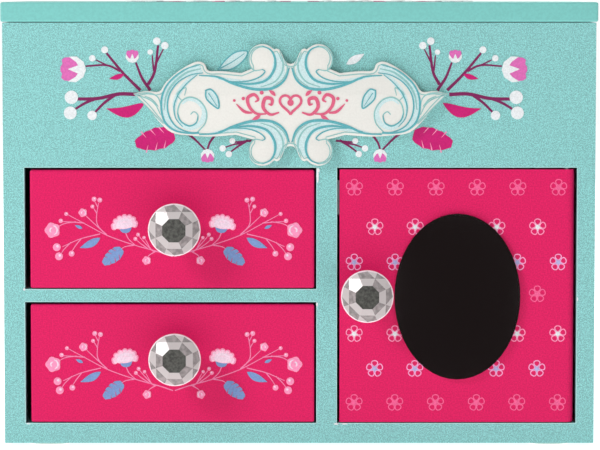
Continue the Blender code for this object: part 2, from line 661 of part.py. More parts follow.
def make_dancer():
    post_foot = 118.6
    profile = [(0.0, 126.3), (1.6, 126.3), (1.6, 125.7), (4.0, 125.7), (4.0, 124.9), (1.6, 124.9),
               (1.6, post_foot), (0.0, post_foot)]
    post = turned("dancer_gear", NYLON, [(r, z - post_foot) for r, z in profile],
                  (DANCER_X, DANCER_Y, post_foot), steps=16)
    half_pitch = 180.0 / GEAR_TEETH
    outline = gear_outline(GEAR_TEETH, GEAR_ROOT, GEAR_TIP, 0.75, 0.4,
                           math.degrees(GEAR_DIRECTION) + 180.0 + half_pitch)
    join(post, plate("dancer_gear_teeth", NYLON, [outline], GEAR_Z[1] - GEAR_Z[0],
                     (DANCER_X, DANCER_Y, sum(GEAR_Z) / 2)))

    low, high, turns, per_turn = 126.4, 131.2, 4, 12
    coil = []
    for step in range(turns * per_turn + 1):
        angle = 2 * math.pi * step / per_turn
        height = low + (high - low) * step / (turns * per_turn)
        coil.append((3.0 * math.cos(angle), 3.0 * math.sin(angle), height))
    spring = tube("dancer_spring", STEEL, coil, 0.35, (DANCER_X, DANCER_Y, 0.0))

    figure = make_figure()
    skirt = turned("dancer_skirt", TULLE, [(3.6, 19.5), (8.5, 19.1), (13.2, 17.8), (13.2, 17.2),
                                           (8.5, 18.2), (3.6, 18.5)],
                   (DANCER_X, DANCER_Y, FIGURE_FOOT_Z), closed=True)
    moving_group("dancer_axis", (DANCER_X, DANCER_Y, post_foot), [post, spring, figure, skirt])


def make_figure():
    """A dancer on one pointe: a turned body, arms in a ring above the head, and a raised leg."""
    profile = [(0.0, 34.4), (1.0, 34.0), (1.2, 33.2), (0.9, 32.6), (1.6, 32.0), (2.2, 30.8),
               (2.1, 29.2), (1.4, 28.0), (0.9, 27.2), (0.95, 26.6), (2.4, 25.8), (2.9, 24.6),
               (2.6, 22.6), (1.9, 20.8), (2.6, 19.4), (3.1, 18.0), (2.4, 15.6), (1.8, 12.6),
               (1.45, 10.6), (1.7, 8.6), (1.3, 5.4), (0.9, 2.8), (0.95, 0.8), (3.4, 0.8),
               (3.4, 0.0), (0.0, 0.0)]
    foot = (DANCER_X, DANCER_Y, FIGURE_FOOT_Z)
    figure = turned("dancer_figure", DOLL, profile, foot, steps=16)
    sweep = arc((0.0, 30.9), 5.6, -66, 246, 16)
    arms = tube("dancer_arms", DOLL, [(u * 0.8, 0.0, v) for u, v in sweep], 0.75, foot)
    join(figure, arms)
    leg = tube("dancer_raised_leg", DOLL, [(1.4, -0.5, 16.8), (3.8, -1.3, 15.2), (5.9, -1.9, 13.6),
                                           (6.0, -1.9, 12.6), (3.8, -1.4, 11.2), (1.4, -0.9, 9.8)],
               1.1, foot)
    join(figure, leg)
    return smooth(figure, 50.0)


make_case_boards()
make_front_panel()
make_back_panel()
make_pads()
make_plaque()
make_tray_fittings()
make_necklace_rail()
make_lid()
make_drawer("lower_drawer", LOWER_FRONT_Z, LOWER_KNOB_Z, LOWER_BACK_Y)
make_drawer("upper_drawer", UPPER_FRONT_Z, UPPER_KNOB_Z, UPPER_BACK_Y)
make_door()
make_movement_frame()
make_barrel()
make_winding_key()
make_cylinder()
make_stop_rod()
make_dancer()
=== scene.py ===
"""Looks of the ballerina jewellery box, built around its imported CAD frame.

Lengths are in millimetres and MM turns them into Blender's metres. Fronts face -Y, up is +Z.
Printed decoration is drawn as thin solid films on the boards, so that it survives an export.
"""
import json
import math

import bmesh
import bpy
from mathutils import Matrix, Vector, noise


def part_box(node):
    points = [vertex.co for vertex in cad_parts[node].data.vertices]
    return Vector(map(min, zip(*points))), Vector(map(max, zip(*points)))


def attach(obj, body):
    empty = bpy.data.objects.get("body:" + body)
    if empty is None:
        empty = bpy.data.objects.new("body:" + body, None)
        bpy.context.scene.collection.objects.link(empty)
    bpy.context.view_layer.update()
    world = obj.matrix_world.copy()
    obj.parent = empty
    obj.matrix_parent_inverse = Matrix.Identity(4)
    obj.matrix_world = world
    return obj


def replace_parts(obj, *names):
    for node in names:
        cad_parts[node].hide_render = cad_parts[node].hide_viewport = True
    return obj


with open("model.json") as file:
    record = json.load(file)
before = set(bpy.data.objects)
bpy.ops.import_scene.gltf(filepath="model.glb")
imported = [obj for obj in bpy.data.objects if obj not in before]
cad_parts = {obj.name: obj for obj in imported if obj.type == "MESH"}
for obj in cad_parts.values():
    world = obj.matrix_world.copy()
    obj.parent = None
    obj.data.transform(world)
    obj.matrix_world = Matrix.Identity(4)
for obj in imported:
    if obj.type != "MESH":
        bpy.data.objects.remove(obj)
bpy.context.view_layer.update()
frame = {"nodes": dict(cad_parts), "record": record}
NODES = frame["nodes"]
MM = 0.001


# ---------------------------------------------------------------- small helpers

def mm_box(node):
    """A CAD node's lowest and highest corners, in millimetres."""
    low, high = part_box(node)
    return low / MM, high / MM


def srgb(red, green, blue):
    """Linear colour from the 0 to 255 values that a screen shows."""
    def linear(value):
        value = value / 255.0
        return value / 12.92 if value <= 0.04045 else ((value + 0.055) / 1.055) ** 2.4
    return (linear(red), linear(green), linear(blue), 1.0)


def shade(colour, factor):
    return tuple(min(1.0, channel * factor) for channel in colour[:3]) + (1.0,)


def spline(points, per_span=6):
    """A smooth Catmull-Rom line through the points."""
    points = [Vector(p) for p in points]
    if len(points) < 3:
        return [points[0].lerp(points[-1], step / per_span) for step in range(per_span + 1)]
    padded = [2 * points[0] - points[1]] + points + [2 * points[-1] - points[-2]]
    line = []
    for a, b, c, d in zip(padded, padded[1:], padded[2:], padded[3:]):
        for step in range(per_span):
            t = step / per_span
            line.append(0.5 * (2 * b + (c - a) * t + (2 * a - 5 * b + 4 * c - d) * t * t
                               + (3 * b - a - 3 * c + d) * t * t * t))
    line.append(points[-1])
    return line


def arc(centre, radius, start, end, steps):
    """Points along an arc, with angles in degrees."""
    points = []
    for step in range(steps + 1):
        angle = math.radians(start + (end - start) * step / steps)
        points.append((centre[0] + radius * math.cos(angle), centre[1] + radius * math.sin(angle)))
    return points


# ---------------------------------------------------------------- materials

class Shader:
    """A node material around one Principled shader."""

    def __init__(self, name, colour, roughness, metallic=0.0, **sockets):
        self.material = bpy.data.materials.new(name)
        self.material.use_nodes = True
        self.tree = self.material.node_tree
        self.main = self.tree.nodes["Principled BSDF"]
        self.colour = colour
        self.set("Base Color", colour)
        self.set("Roughness", roughness)
        self.set("Metallic", metallic)
        for socket, value in sockets.items():
            self.set(socket.replace("_", " "), value)

    def set(self, socket, value):
        self.main.inputs[socket].default_value = value

    def node(self, kind, **values):
        node = self.tree.nodes.new(kind)
        for key, value in values.items():
            if hasattr(node, key):
                setattr(node, key, value)
            else:
                node.inputs[key.replace("_", " ")].default_value = value
        return node

    def link(self, source, target):
        self.tree.links.new(source, target)

    def place(self):
        """Object coordinates, which lie in the shared frame."""
        return self.node("ShaderNodeTexCoord").outputs["Object"]

    def noise(self, size_mm, detail=2.0, roughness=0.5):
        texture = self.node("ShaderNodeTexNoise", Scale=1.0 / (size_mm * MM), Detail=detail,
                            Roughness=roughness)
        self.link(self.place(), texture.inputs["Vector"])
        return texture.outputs["Fac"]

    def vary(self, factor, spread, low=0.35, high=0.65):
        """Spread the base colour around itself by a texture."""
        ramp = self.node("ShaderNodeValToRGB")
        ramp.color_ramp.elements[0].position = low
        ramp.color_ramp.elements[1].position = high
        ramp.color_ramp.elements[0].color = shade(self.colour, 1.0 - spread)
        ramp.color_ramp.elements[1].color = shade(self.colour, 1.0 + spread)
        self.link(factor, ramp.inputs["Fac"])
        self.link(ramp.outputs["Color"], self.main.inputs["Base Color"])
        return ramp.outputs["Color"]

    def bump(self, height, depth_mm):
        bump = self.node("ShaderNodeBump", Distance=depth_mm * MM, Strength=1.0)
        self.link(height, bump.inputs["Height"])
        self.link(bump.outputs["Normal"], self.main.inputs["Normal"])

    def rough(self, factor, low, high):
        """Roughness between two values by a texture."""
        spread = self.node("ShaderNodeMapRange", To_Min=low, To_Max=high)
        self.link(factor, spread.inputs["Value"])
        self.link(spread.outputs["Result"], self.main.inputs["Roughness"])


def paper(name, colour, roughness, grain_mm, depth_mm, spread, gloss=0.35):
    """Printed paper over board, with a fine pressed grain."""
    shader = Shader(name, colour, roughness, Specular_IOR_Level=gloss)
    grain = shader.noise(grain_mm, 2.0, 0.6)
    shader.vary(grain, spread, 0.38, 0.62)
    shader.rough(shader.noise(9.0, 3.0), roughness - 0.05, roughness + 0.08)
    shader.bump(grain, depth_mm)
    return shader.material


INK_ROUGHNESS, PILE_ROUGHNESS = 0.42, 0.95


def ink(name, colour):
    """Printing ink, a little uneven as on textured paper."""
    shader = Shader(name, colour, INK_ROUGHNESS, Specular_IOR_Level=0.25)
    shader.vary(shader.noise(0.55, 2.0, 0.6), 0.08, 0.38, 0.62)
    return shader.material


def pile(name, colour):
    """Velvet or flock: short pile with sheen and brushed patches."""
    shader = Shader(name, colour, PILE_ROUGHNESS, Sheen_Weight=0.6, Sheen_Roughness=0.35)
    shader.set("Sheen Tint", shade(colour, 1.6))
    fibre = shader.noise(0.35, 4.0, 0.7)
    patch = shader.noise(8.0, 3.0, 0.5)
    mix = shader.node("ShaderNodeMath", operation='ADD')
    half = shader.node("ShaderNodeMath", operation='MULTIPLY')
    half.inputs[1].default_value = 0.5
    shader.link(fibre, mix.inputs[0])
    shader.link(patch, mix.inputs[1])
    shader.link(mix.outputs[0], half.inputs[0])
    shader.vary(half.outputs[0], 0.14, 0.38, 0.62)
    shader.bump(fibre, 0.12)
    return shader.material


def metal(name, colour, roughness, brushed=0.0):
    """Polished or brushed metal, with faint streaks and fingerprints."""
    shader = Shader(name, colour, roughness, 1.0)
    smear = shader.noise(6.0, 4.0, 0.6)
    shader.rough(smear, max(0.04, roughness - 0.06), roughness + 0.12)
    shader.vary(smear, 0.05)
    if brushed:
        shader.bump(shader.noise(0.12, 2.0), brushed)
    return shader.material


TURQUOISE = paper("turquoise_paper", srgb(134, 196, 194), 0.55, 0.42, 0.045, 0.30)
LID_BLUE = paper("lid_paper", srgb(121, 195, 189), 0.40, 0.9, 0.006, 0.04)
PINK = paper("pink_paper", srgb(218, 21, 94), 0.45, 0.6, 0.012, 0.10, 0.2)
LINING = pile("lining_flock", srgb(238, 170, 190))
VELVET = pile("velvet_pile", srgb(186, 28, 84))
CREAM = paper("plaque_cream", srgb(226, 225, 219), 0.45, 0.8, 0.006, 0.02)
BRASS = metal("polished_brass", srgb(222, 186, 112), 0.22)
STEEL = metal("zinc_steel", srgb(186, 188, 192), 0.32, 0.01)
MIRROR = Shader("silvered_glass", (0.93, 0.93, 0.94, 1.0), 0.015, 1.0)
MIRROR.rough(MIRROR.noise(30.0, 2.0), 0.008, 0.03)
MIRROR = MIRROR.material


def simple_materials():
    nylon = Shader("moulded_nylon", srgb(236, 234, 226), 0.45)
    nylon.set("Subsurface Weight", 0.1)
    nylon.vary(nylon.noise(3.0), 0.03)
    nylon.bump(nylon.noise(0.6), 0.01)
    foam = Shader("foam_pad", srgb(236, 234, 229), 0.9)
    foam.vary(foam.noise(0.7, 3.0), 0.06)
    foam.bump(foam.noise(0.5, 3.0), 0.06)
    # Painted light on the clear knobs: a painted lit tone for the bright facets and the hidden body, a
    # painted shade tone for the grey facets, a painted dark reflection of the room on the table, and a
    # painted pale pink highlight on the rim.
    crystal = Shader("cut_crystal", srgb(198, 190, 190), 0.2, 0.2)
    crystal.rough(crystal.noise(5.0), 0.30, 0.40)
    rim = Shader("crystal_rim_painted_highlight", srgb(246, 226, 234), 0.2)
    rim.vary(rim.noise(2.0), 0.02)
    grey = Shader("cut_crystal_painted_shade", srgb(152, 144, 144), 0.2, 0.2)
    grey.vary(grey.noise(1.6, 3.0), 0.25)
    grey.rough(grey.noise(5.0), 0.16, 0.28)
    table_reflection = Shader("cut_crystal_painted_dark_reflection", srgb(80, 80, 76), 0.06, 0.3)
    table_reflection.vary(table_reflection.noise(1.1, 4.0, 0.65), 0.45)
    table_reflection.rough(table_reflection.noise(2.0), 0.04, 0.2)
    return (nylon.material, foam.material, crystal.material, rim.material, grey.material,
            table_reflection.material)


NYLON, FOAM, LIT_CRYSTAL, RIM_HIGHLIGHT, SHADED_CRYSTAL, DARK_REFLECTION_CRYSTAL = simple_materials()


# ---------------------------------------------------------------- mesh helpers

def finish_mesh(name, shape, material, body, smooth_angle=None):
    """Turn a bmesh in metres into a piece that rides on a body."""
    bmesh.ops.recalc_face_normals(shape, faces=shape.faces)
    mesh = bpy.data.meshes.new(name)
    shape.to_mesh(mesh)
    shape.free()
    if smooth_angle is not None:
        mesh.shade_smooth()
        mesh.set_sharp_from_angle(angle=math.radians(smooth_angle))
    piece = bpy.data.objects.new(name, mesh)
    return add_piece(piece, material, body)


def add_piece(piece, material, body):
    if not piece.users_collection:
        bpy.context.scene.collection.objects.link(piece)
    piece.data.materials.clear()
    piece.data.materials.append(material)
    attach(piece, body)
    return piece


def evaluated_mesh(piece):
    graph = bpy.context.evaluated_depsgraph_get()
    return bpy.data.meshes.new_from_object(piece.evaluated_get(graph))


def apply_modifiers(piece):
    mesh = evaluated_mesh(piece)
    piece.modifiers.clear()
    piece.data = mesh
    return piece


def lathe(shape, profile, centre, axis='Z', steps=48):
    """Add a closed turned solid; the profile runs (radius, height) and ends on the axis or closes."""
    turn = {'Z': Matrix.Identity(3), 'FRONT': Matrix.Rotation(math.pi / 2, 3, 'X'),
            'BACK': Matrix.Rotation(-math.pi / 2, 3, 'X'),
            'X': Matrix.Rotation(math.pi / 2, 3, 'Y')}[axis]
    rings = []
    for radius, height in profile:
        if radius < 1e-6:
            rings.append([shape.verts.new((Vector(centre) + turn @ Vector((0, 0, height))) * MM)])
            continue
        ring = []
        for step in range(steps):
            angle = 2 * math.pi * step / steps
            spot = Vector((radius * math.cos(angle), radius * math.sin(angle), height))
            ring.append(shape.verts.new((Vector(centre) + turn @ spot) * MM))
        rings.append(ring)
    closed = len(rings[0]) > 1
    pairs = list(zip(rings, rings[1:] + ([rings[0]] if closed else [])))
    for upper, lower in pairs:
        for step in range(steps):
            after = (step + 1) % steps
            if len(upper) == 1 and len(lower) == 1:
                break
            if len(upper) == 1:
                shape.faces.new((upper[0], lower[step], lower[after]))
            elif len(lower) == 1:
                shape.faces.new((upper[step], lower[0], upper[after]))
            else:
                shape.faces.new((upper[step], lower[step], lower[after], upper[after]))


def tube(shape, points, radii, sides=12, per_span=6):
    """Add a closed round tube through points, with a radius at each point."""
    line = spline(points, per_span)
    last = len(points) - 1
    rings = []
    side = None
    for index, spot in enumerate(line):
        ahead = line[min(index + 1, len(line) - 1)] - line[max(index - 1, 0)]
        ahead.normalize()
        if side is None:
            side = ahead.orthogonal().normalized()
        side = (side - ahead * side.dot(ahead)).normalized()
        other = ahead.cross(side)
        place = index / (len(line) - 1) * last
        low = min(int(place), last - 1)
        radius = radii[low] + (radii[low + 1] - radii[low]) * (place - low)
        ring = []
        for step in range(sides):
            angle = 2 * math.pi * step / sides
            ring.append(shape.verts.new((spot + (side * math.cos(angle) + other * math.sin(angle))
                                         * radius) * MM))
        rings.append(ring)
    for first, second in zip(rings, rings[1:]):
        for step in range(sides):
            after = (step + 1) % sides
            shape.faces.new((first[step], first[after], second[after], second[step]))
    shape.faces.new(rings[0][::-1])
    shape.faces.new(rings[-1])


def block(shape, low, high):
    """Add a box between two corners."""
    result = bmesh.ops.create_cube(shape, size=1.0)
    size = Vector([high[i] - low[i] for i in range(3)])
    centre = Vector([(high[i] + low[i]) / 2 for i in range(3)])
    bmesh.ops.scale(shape, vec=size * MM, verts=result["verts"])
    bmesh.ops.translate(shape, vec=centre * MM, verts=result["verts"])


# A film's inks start just under the face, and each layer stands a step above the one below
FILM_SUNK, FILM_LIFT, FILM_LAYER_STEP, FILM_SHAPE_STEP = 0.04, 0.05, 0.08, 0.0005
LINING_LIFT = 0.12
LEAF_STEPS = 10


class Film:
    """Shapes of one ink, as thin closed solids on a face; u runs right and v up on that face."""

    def __init__(self, origin, u_axis=(1, 0, 0), v_axis=(0, 0, 1), out=(0, -1, 0), layer=0):
        self.shape = bmesh.new()
        self.origin, self.u_axis, self.v_axis, self.out = map(Vector, (origin, u_axis, v_axis, out))
        self.low, self.high = -FILM_SUNK, FILM_LIFT + FILM_LAYER_STEP * layer
        self.mirror = 1.0

    def next_lift(self):
        """Each shape lies a hair above the one before, so that crossing shapes never share a face."""
        self.high += FILM_SHAPE_STEP

    def spot(self, u, v, lift):
        u *= self.mirror
        return (self.origin + self.u_axis * u + self.v_axis * v + self.out * lift) * MM

    def strip(self, left, right, closed=False):
        """A band between two rails of points."""
        self.next_lift()
        rails = [[self.shape.verts.new(self.spot(p[0], p[1], lift)) for p in rail]
                 for rail in (left, right) for lift in (self.low, self.high)]
        left_low, left_high, right_low, right_high = rails
        count = len(left)
        spans = range(count if closed else count - 1)
        for a in spans:
            b = (a + 1) % count
            for first, second in ((left_high, right_high), (right_low, left_low),
                                  (right_high, right_low), (left_low, left_high)):
                self.shape.faces.new((first[a], first[b], second[b], second[a]))
        if not closed:
            for end in (0, -1):
                self.shape.faces.new((left_low[end], left_high[end], right_high[end], right_low[end]))

    def polygon(self, outline):
        """A filled outline, round or only mildly bent."""
        self.next_lift()
        low = [self.shape.verts.new(self.spot(u, v, self.low)) for u, v in outline]
        high = [self.shape.verts.new(self.spot(u, v, self.high)) for u, v in outline]
        count = len(outline)
        for a in range(count):
            b = (a + 1) % count
            self.shape.faces.new((low[a], low[b], high[b], high[a]))
        self.shape.faces.new(low)
        self.shape.faces.new(high)

    def disc(self, centre, radius, other=None, turn=0.0, sides=18):
        other = radius if other is None else other
        turn = math.radians(turn)
        outline = []
        for u, v in arc((0, 0), 1.0, 0, 360 - 360 / sides, sides - 1):
            u, v = u * radius, v * other
            outline.append((centre[0] + u * math.cos(turn) - v * math.sin(turn),
                            centre[1] + u * math.sin(turn) + v * math.cos(turn)))
        self.polygon(outline)

    def ring(self, outline, width):
        """A closed line of even width around an outline that starts anywhere."""
        count = len(outline)
        inner, outer = [], []
        for index, here in enumerate(outline):
            before, after = Vector(outline[index - 1]), Vector(outline[(index + 1) % count])
            along = (after - before).normalized()
            side = Vector((-along.y, along.x)) * width / 2
            inner.append(Vector(here) + side)
            outer.append(Vector(here) - side)
        self.strip(inner, outer, closed=True)

    def stroke(self, points, start, end=None, middle=None, per_span=6):
        """A brush line whose width runs from start through middle to end."""
        end = start if end is None else end
        middle = (start + end) / 2 if middle is None else middle
        line = [p.to_2d() for p in spline([(p[0], p[1], 0.0) for p in points], per_span)]
        left, right = [], []
        for index, here in enumerate(line):
            along = (line[min(index + 1, len(line) - 1)] - line[max(index - 1, 0)]).normalized()
            t = index / (len(line) - 1)
            width = start * (1 - t) ** 2 + 2 * t * (1 - t) * (2 * middle - (start + end) / 2) + end * t * t
            side = Vector((-along.y, along.x)) * max(width, 0.08) / 2
            left.append(here + side)
            right.append(here - side)
        self.strip(left, right)

    def leaf(self, base, tip, width, bend=0.0):
        """A pointed leaf from base to tip; bend pushes its belly to one side."""
        base, tip = Vector(base), Vector(tip)
        along = tip - base
        side = Vector((-along.y, along.x)).normalized()
        left, right = [], []
        for step in range(LEAF_STEPS + 1):
            t = step / LEAF_STEPS
            half = max(width / 2 * math.sin(math.pi * t ** 0.85), 0.03)
            middle = base + along * t + side * bend * math.sin(math.pi * t)
            left.append(middle + side * half)
            right.append(middle - side * half)
        self.strip(left, right)

    def flower(self, centre, radius, width):
        """Five petals as separate drop-shaped loops, one pointing up."""
        for petal in range(5):
            heading = math.radians(90 + 72 * petal)
            ahead = Vector((math.cos(heading), math.sin(heading)))
            side = Vector((-ahead.y, ahead.x))
            outline = []
            for step in range(14):
                t = 2 * math.pi * step / 14
                along = radius * (0.62 + 0.34 * math.cos(t))
                half = radius * (0.35 + 0.09 * math.cos(t)) * math.sin(t)
                outline.append(Vector(centre) + ahead * along + side * half)
            self.ring(outline, width)

    def finish(self, name, material, body, slot):
        return finish_mesh(name, self.shape, material, body)


# ---------------------------------------------------------------- CAD nodes that stay

def keep_node_materials():
    """Give every carried-over CAD node its finished material by its slot."""
    # The clear crystal slot takes the painted lit tone of the knobs.
    by_slot = {"turquoise_paper": TURQUOISE, "lid_paper": LID_BLUE, "pink_paper": PINK,
               "inner_lining": LINING, "plaque_board": CREAM, "mirror_glass": MIRROR,
               "clear_crystal": LIT_CRYSTAL, "brass": BRASS, "plated_steel": STEEL,
               "white_nylon": NYLON, "velvet": VELVET, "tulle": LINING, "painted_dancer": NYLON,
               "foam_pad": FOAM}
    for part in frame["record"]["subparts"]:
        mesh = NODES[part["node"]].data
        mesh.materials.clear()
        mesh.materials.append(by_slot[part["material_slot"]])


keep_node_materials()
FRONT_FACE = mm_box("front_panel")[0].y
BOARD_GAP, LEAF_THICKNESS = 0.3, 0.8
CASE_LEAF_BACK = mm_box("back_panel")[1].y + BOARD_GAP + LEAF_THICKNESS
LID_LEAF_BACK = mm_box("lid_board")[1].y + BOARD_GAP + LEAF_THICKNESS
AXIS_X = sum(mm_box("dancer_skirt")[k].x for k in (0, 1)) / 2
AXIS_Y = sum(mm_box("dancer_skirt")[k].y for k in (0, 1)) / 2
FOOT_Z = mm_box("dancer_figure")[0].z
# Near-black ink for painted shade in the screw heads' cross recesses.
RECESS_SHADE = ink("painted_recess_shade", srgb(40, 34, 30))


# ---------------------------------------------------------------- printed decoration

MAGENTA = ink("ink_magenta", srgb(196, 20, 110))
PLUM = ink("ink_plum_stem", srgb(124, 28, 86))
WHITE = ink("ink_white", srgb(226, 230, 232))
BUD_PINK = ink("ink_bud_pink", srgb(214, 104, 176))
PALE_PINK = ink("ink_pale_pink", srgb(244, 146, 186))
STEM_PINK = ink("ink_stem_pink", srgb(232, 128, 172))
BLUE_LEAF = ink("ink_blue_leaf", srgb(120, 150, 200))
FLOWER_PINK = ink("ink_flower_pink", srgb(240, 98, 150))
PETAL = ink("ink_petal", srgb(244, 198, 218))
SOFT_WHITE = ink("ink_soft_white", srgb(238, 212, 228))
LILAC_LINE = ink("ink_lilac_line", srgb(240, 160, 205))
LILAC = ink("ink_lilac", srgb(175, 175, 220))
TEAL = ink("ink_teal", srgb(92, 170, 178))
PALE_TEAL = ink("ink_pale_teal", srgb(142, 192, 190))
PALE_AQUA = ink("ink_pale_aqua", srgb(200, 224, 225))
CORAL = ink("ink_coral", srgb(216, 96, 128))

SPRIG_AXIS_X = -2.2
BERRIES = [(81.1, 157.6, 1.3), (76.1, 161.0, 1.4), (57.8, 160.1, 1.1), (55.1, 164.5, 1.5),
           (51.9, 162.7, 1.5), (89.6, 141.9, 2.7), (90.1, 135.6, 2.6), (81.3, 134.6, 1.9),
           (28.7, 121.3, 1.3), (26.2, 119.0, 1.3), (24.8, 124.3, 1.2)]


def header_sprigs():
    """Two mirrored sprigs of stems, leaves, berries and buds behind the plaque."""
    origin = (SPRIG_AXIS_X, FRONT_FACE, 0.0)
    stems, leaves = Film(origin), Film(origin, layer=1)
    buds, whites = Film(origin, layer=2), Film(origin, layer=3)
    veins = Film(origin, layer=2)
    for side in (-1.0, 1.0):
        for film in (stems, leaves, whites, buds, veins):
            film.mirror = side
        stem_lines = [
            ([(61.8, 144.7), (68.5, 151.4), (75.4, 159.7)], 1.3, 0.9),
            ([(69.9, 152.4), (75.3, 154.8), (83.8, 154.4)], 0.9, 0.7),
            ([(75.3, 154.8), (79.6, 156.9)], 0.7, 0.5),
            ([(57.8, 144.7), (61.2, 149.8), (63.6, 155.9)], 1.3, 0.8),
            ([(58.7, 147.0), (56.0, 152.4), (54.6, 162.8)], 1.3, 0.9),
            ([(55.6, 155.2), (52.5, 161.3)], 0.8, 0.5),
            ([(56.4, 152.6), (57.0, 158.8)], 0.8, 0.5),
            ([(62.6, 143.0), (70.4, 143.2), (79.0, 141.4), (87.4, 141.2)], 1.5, 1.3),
            ([(79.0, 141.6), (84.0, 139.6), (88.0, 137.2)], 1.2, 0.9),
            ([(71.8, 143.0), (76.4, 139.6), (80.2, 135.8)], 1.2, 0.9),
            ([(43.0, 127.4), (40.2, 125.2), (35.4, 120.4)], 1.1, 0.7),
            ([(31.4, 127.0), (33.8, 123.8), (35.0, 120.4)], 1.0, 0.7),
            ([(17.0, 124.4), (22.0, 123.9), (26.0, 123.9)], 0.9, 0.6),
            ([(18.5, 124.6), (22.6, 122.0), (25.8, 119.6)], 1.0, 0.6),
            ([(20.4, 123.4), (24.0, 122.9), (28.0, 121.6)], 0.8, 0.5)]
        for points, start, end in stem_lines:
            stems.stroke(points, start, end, per_span=5)
        leaves.leaf((68.3, 151.2), (74.3, 149.4), 2.1, -0.3)
        leaves.leaf((60.0, 139.6), (75.6, 137.4), 4.6, -2.6)
        notched_leaf(leaves, veins, (48.2, 126.9), (63.8, 123.0), 9.4)
        for u, z, radius in BERRIES:
            whites.disc((u, z), radius)
        for u, z, radius in ((65.0, 158.6, 2.5), (34.8, 118.1, 2.6)):
            blossom(whites, buds, (u, z), radius, 90.0 if z > 140 else -90.0)
        blossom(whites, buds, (89.3, 153.2), 4.9, 2.0)
    whites.mirror = 1.0
    whites.leaf((19.0 - SPRIG_AXIS_X, 155.2), (26.2 - SPRIG_AXIS_X, 159.4), 3.0)
    stems.finish("header_stems", PLUM, "case", "turquoise_paper")
    leaves.finish("header_leaves", MAGENTA, "case", "turquoise_paper")
    whites.finish("header_berries", WHITE, "case", "turquoise_paper")
    buds.finish("header_buds", BUD_PINK, "case", "turquoise_paper")
    veins.finish("header_leaf_cuts", PALE_PINK, "case", "turquoise_paper")


def blossom(whites, buds, centre, radius, heading):
    """A bud seen from the side: a round pink cup with three low points, held by white sepals."""
    turn = math.radians(heading)
    ahead = Vector((math.cos(turn), math.sin(turn)))
    side = Vector((-ahead.y, ahead.x))
    middle = Vector(centre)

    def place(along, across):
        return middle + ahead * along * radius + side * across * radius

    cup = [place(-0.75, 0.0), place(-0.55, 0.62), place(0.1, 0.98), place(0.6, 0.94), place(0.86, 0.76),
           place(0.8, 0.4), place(0.95, 0.16), place(0.95, -0.16), place(0.8, -0.4), place(0.86, -0.76),
           place(0.6, -0.94), place(0.1, -0.98), place(-0.55, -0.62)]
    buds.polygon(cup)
    sepals = [place(-1.15, 0.0), place(-0.95, 0.62), place(-0.35, 1.06), place(0.3, 1.02),
              place(-0.3, 0.62), place(-0.5, 0.34), place(0.35, 0.0), place(-0.5, -0.34),
              place(-0.3, -0.62), place(0.3, -1.02), place(-0.35, -1.06), place(-0.95, -0.62)]
    whites.polygon(sepals)


def notched_leaf(film, veins, base, tip, width):
    """A broad blunt leaf with a wavy edge, and thin pale cuts running in from it."""
    base, tip = Vector(base), Vector(tip)
    along = (tip - base)
    length = along.length
    along.normalize()
    side = Vector((-along.y, along.x))
    steps = 24
    rails = {1.0: [], -1.0: []}
    for step in range(steps + 1):
        t = step / steps
        for sign, rail in rails.items():
            wave = 1.0 - 0.10 * abs(math.sin(math.pi * (4.0 * t + 0.25 * sign)))
            half = width / 2 * math.sin(math.pi * (0.04 + 0.90 * t) ** 0.8) ** 0.62 * wave
            rail.append(base + along * length * t + side * sign * half)
    film.strip(rails[1.0], rails[-1.0])
    for sign in (1.0, -1.0):
        for t in (0.3, 0.52, 0.76):
            inner = base + along * length * (t - 0.06) + side * sign * width * 0.16
            outer = base + along * length * (t + 0.03) + side * sign * width * 0.46
            veins.stroke([inner, outer], width * 0.01, width * 0.06)


DRAWER_BERRIES = [(32.0, 12.9, 1.0), (29.7, 12.5, 1.0), (32.7, 9.9, 0.8), (43.3, 6.9, 0.8),
                  (45.5, 4.1, 0.9), (47.2, -6.6, 1.6), (46.3, -10.3, 1.6), (41.2, -9.2, 1.2),
                  (14.3, -1.5, 0.8), (15.4, -3.2, 0.8), (11.9, -2.7, 0.7)]


DRAWER_STEMS = (
    ((0.4, -10.4), (6.3, -8.4), (15.6, -5.8), (26.6, -1.9), (36.0, 3.0), (43.2, 6.9)),
    ((27.0, -1.5), (31.6, 2.6), (35.2, 6.0)), ((27.0, -1.8), (30.6, 2.3), (31.0, 6.4), (30.2, 11.4)),
    ((30.9, 7.0), (32.3, 9.4)), ((30.5, 9.6), (31.8, 12.0)), ((36.0, 3.2), (41.0, 3.6), (45.2, 3.8)),
    ((29.6, -1.2), (37.6, -3.2), (44.9, -6.4)), ((41.4, -4.6), (44.2, -7.4), (45.7, -9.6)),
    ((37.4, -3.2), (39.6, -6.0), (40.9, -8.0)), ((39.4, 3.7), (44.0, 3.0), (47.4, 1.2)),
    ((19.4, -0.6), (18.2, -3.2), (15.6, -5.7)), ((6.6, -8.4), (8.8, -7.8), (11.4, -3.4)),
    ((9.2, -7.4), (12.0, -4.4), (14.0, -2.0)), ((10.4, -7.1), (13.4, -5.0), (15.0, -3.6)),
    ((7.4, -8.4), (9.8, -9.8), (10.6, -11.2)), ((16.0, -5.8), (19.6, -6.4), (21.8, -7.8)))


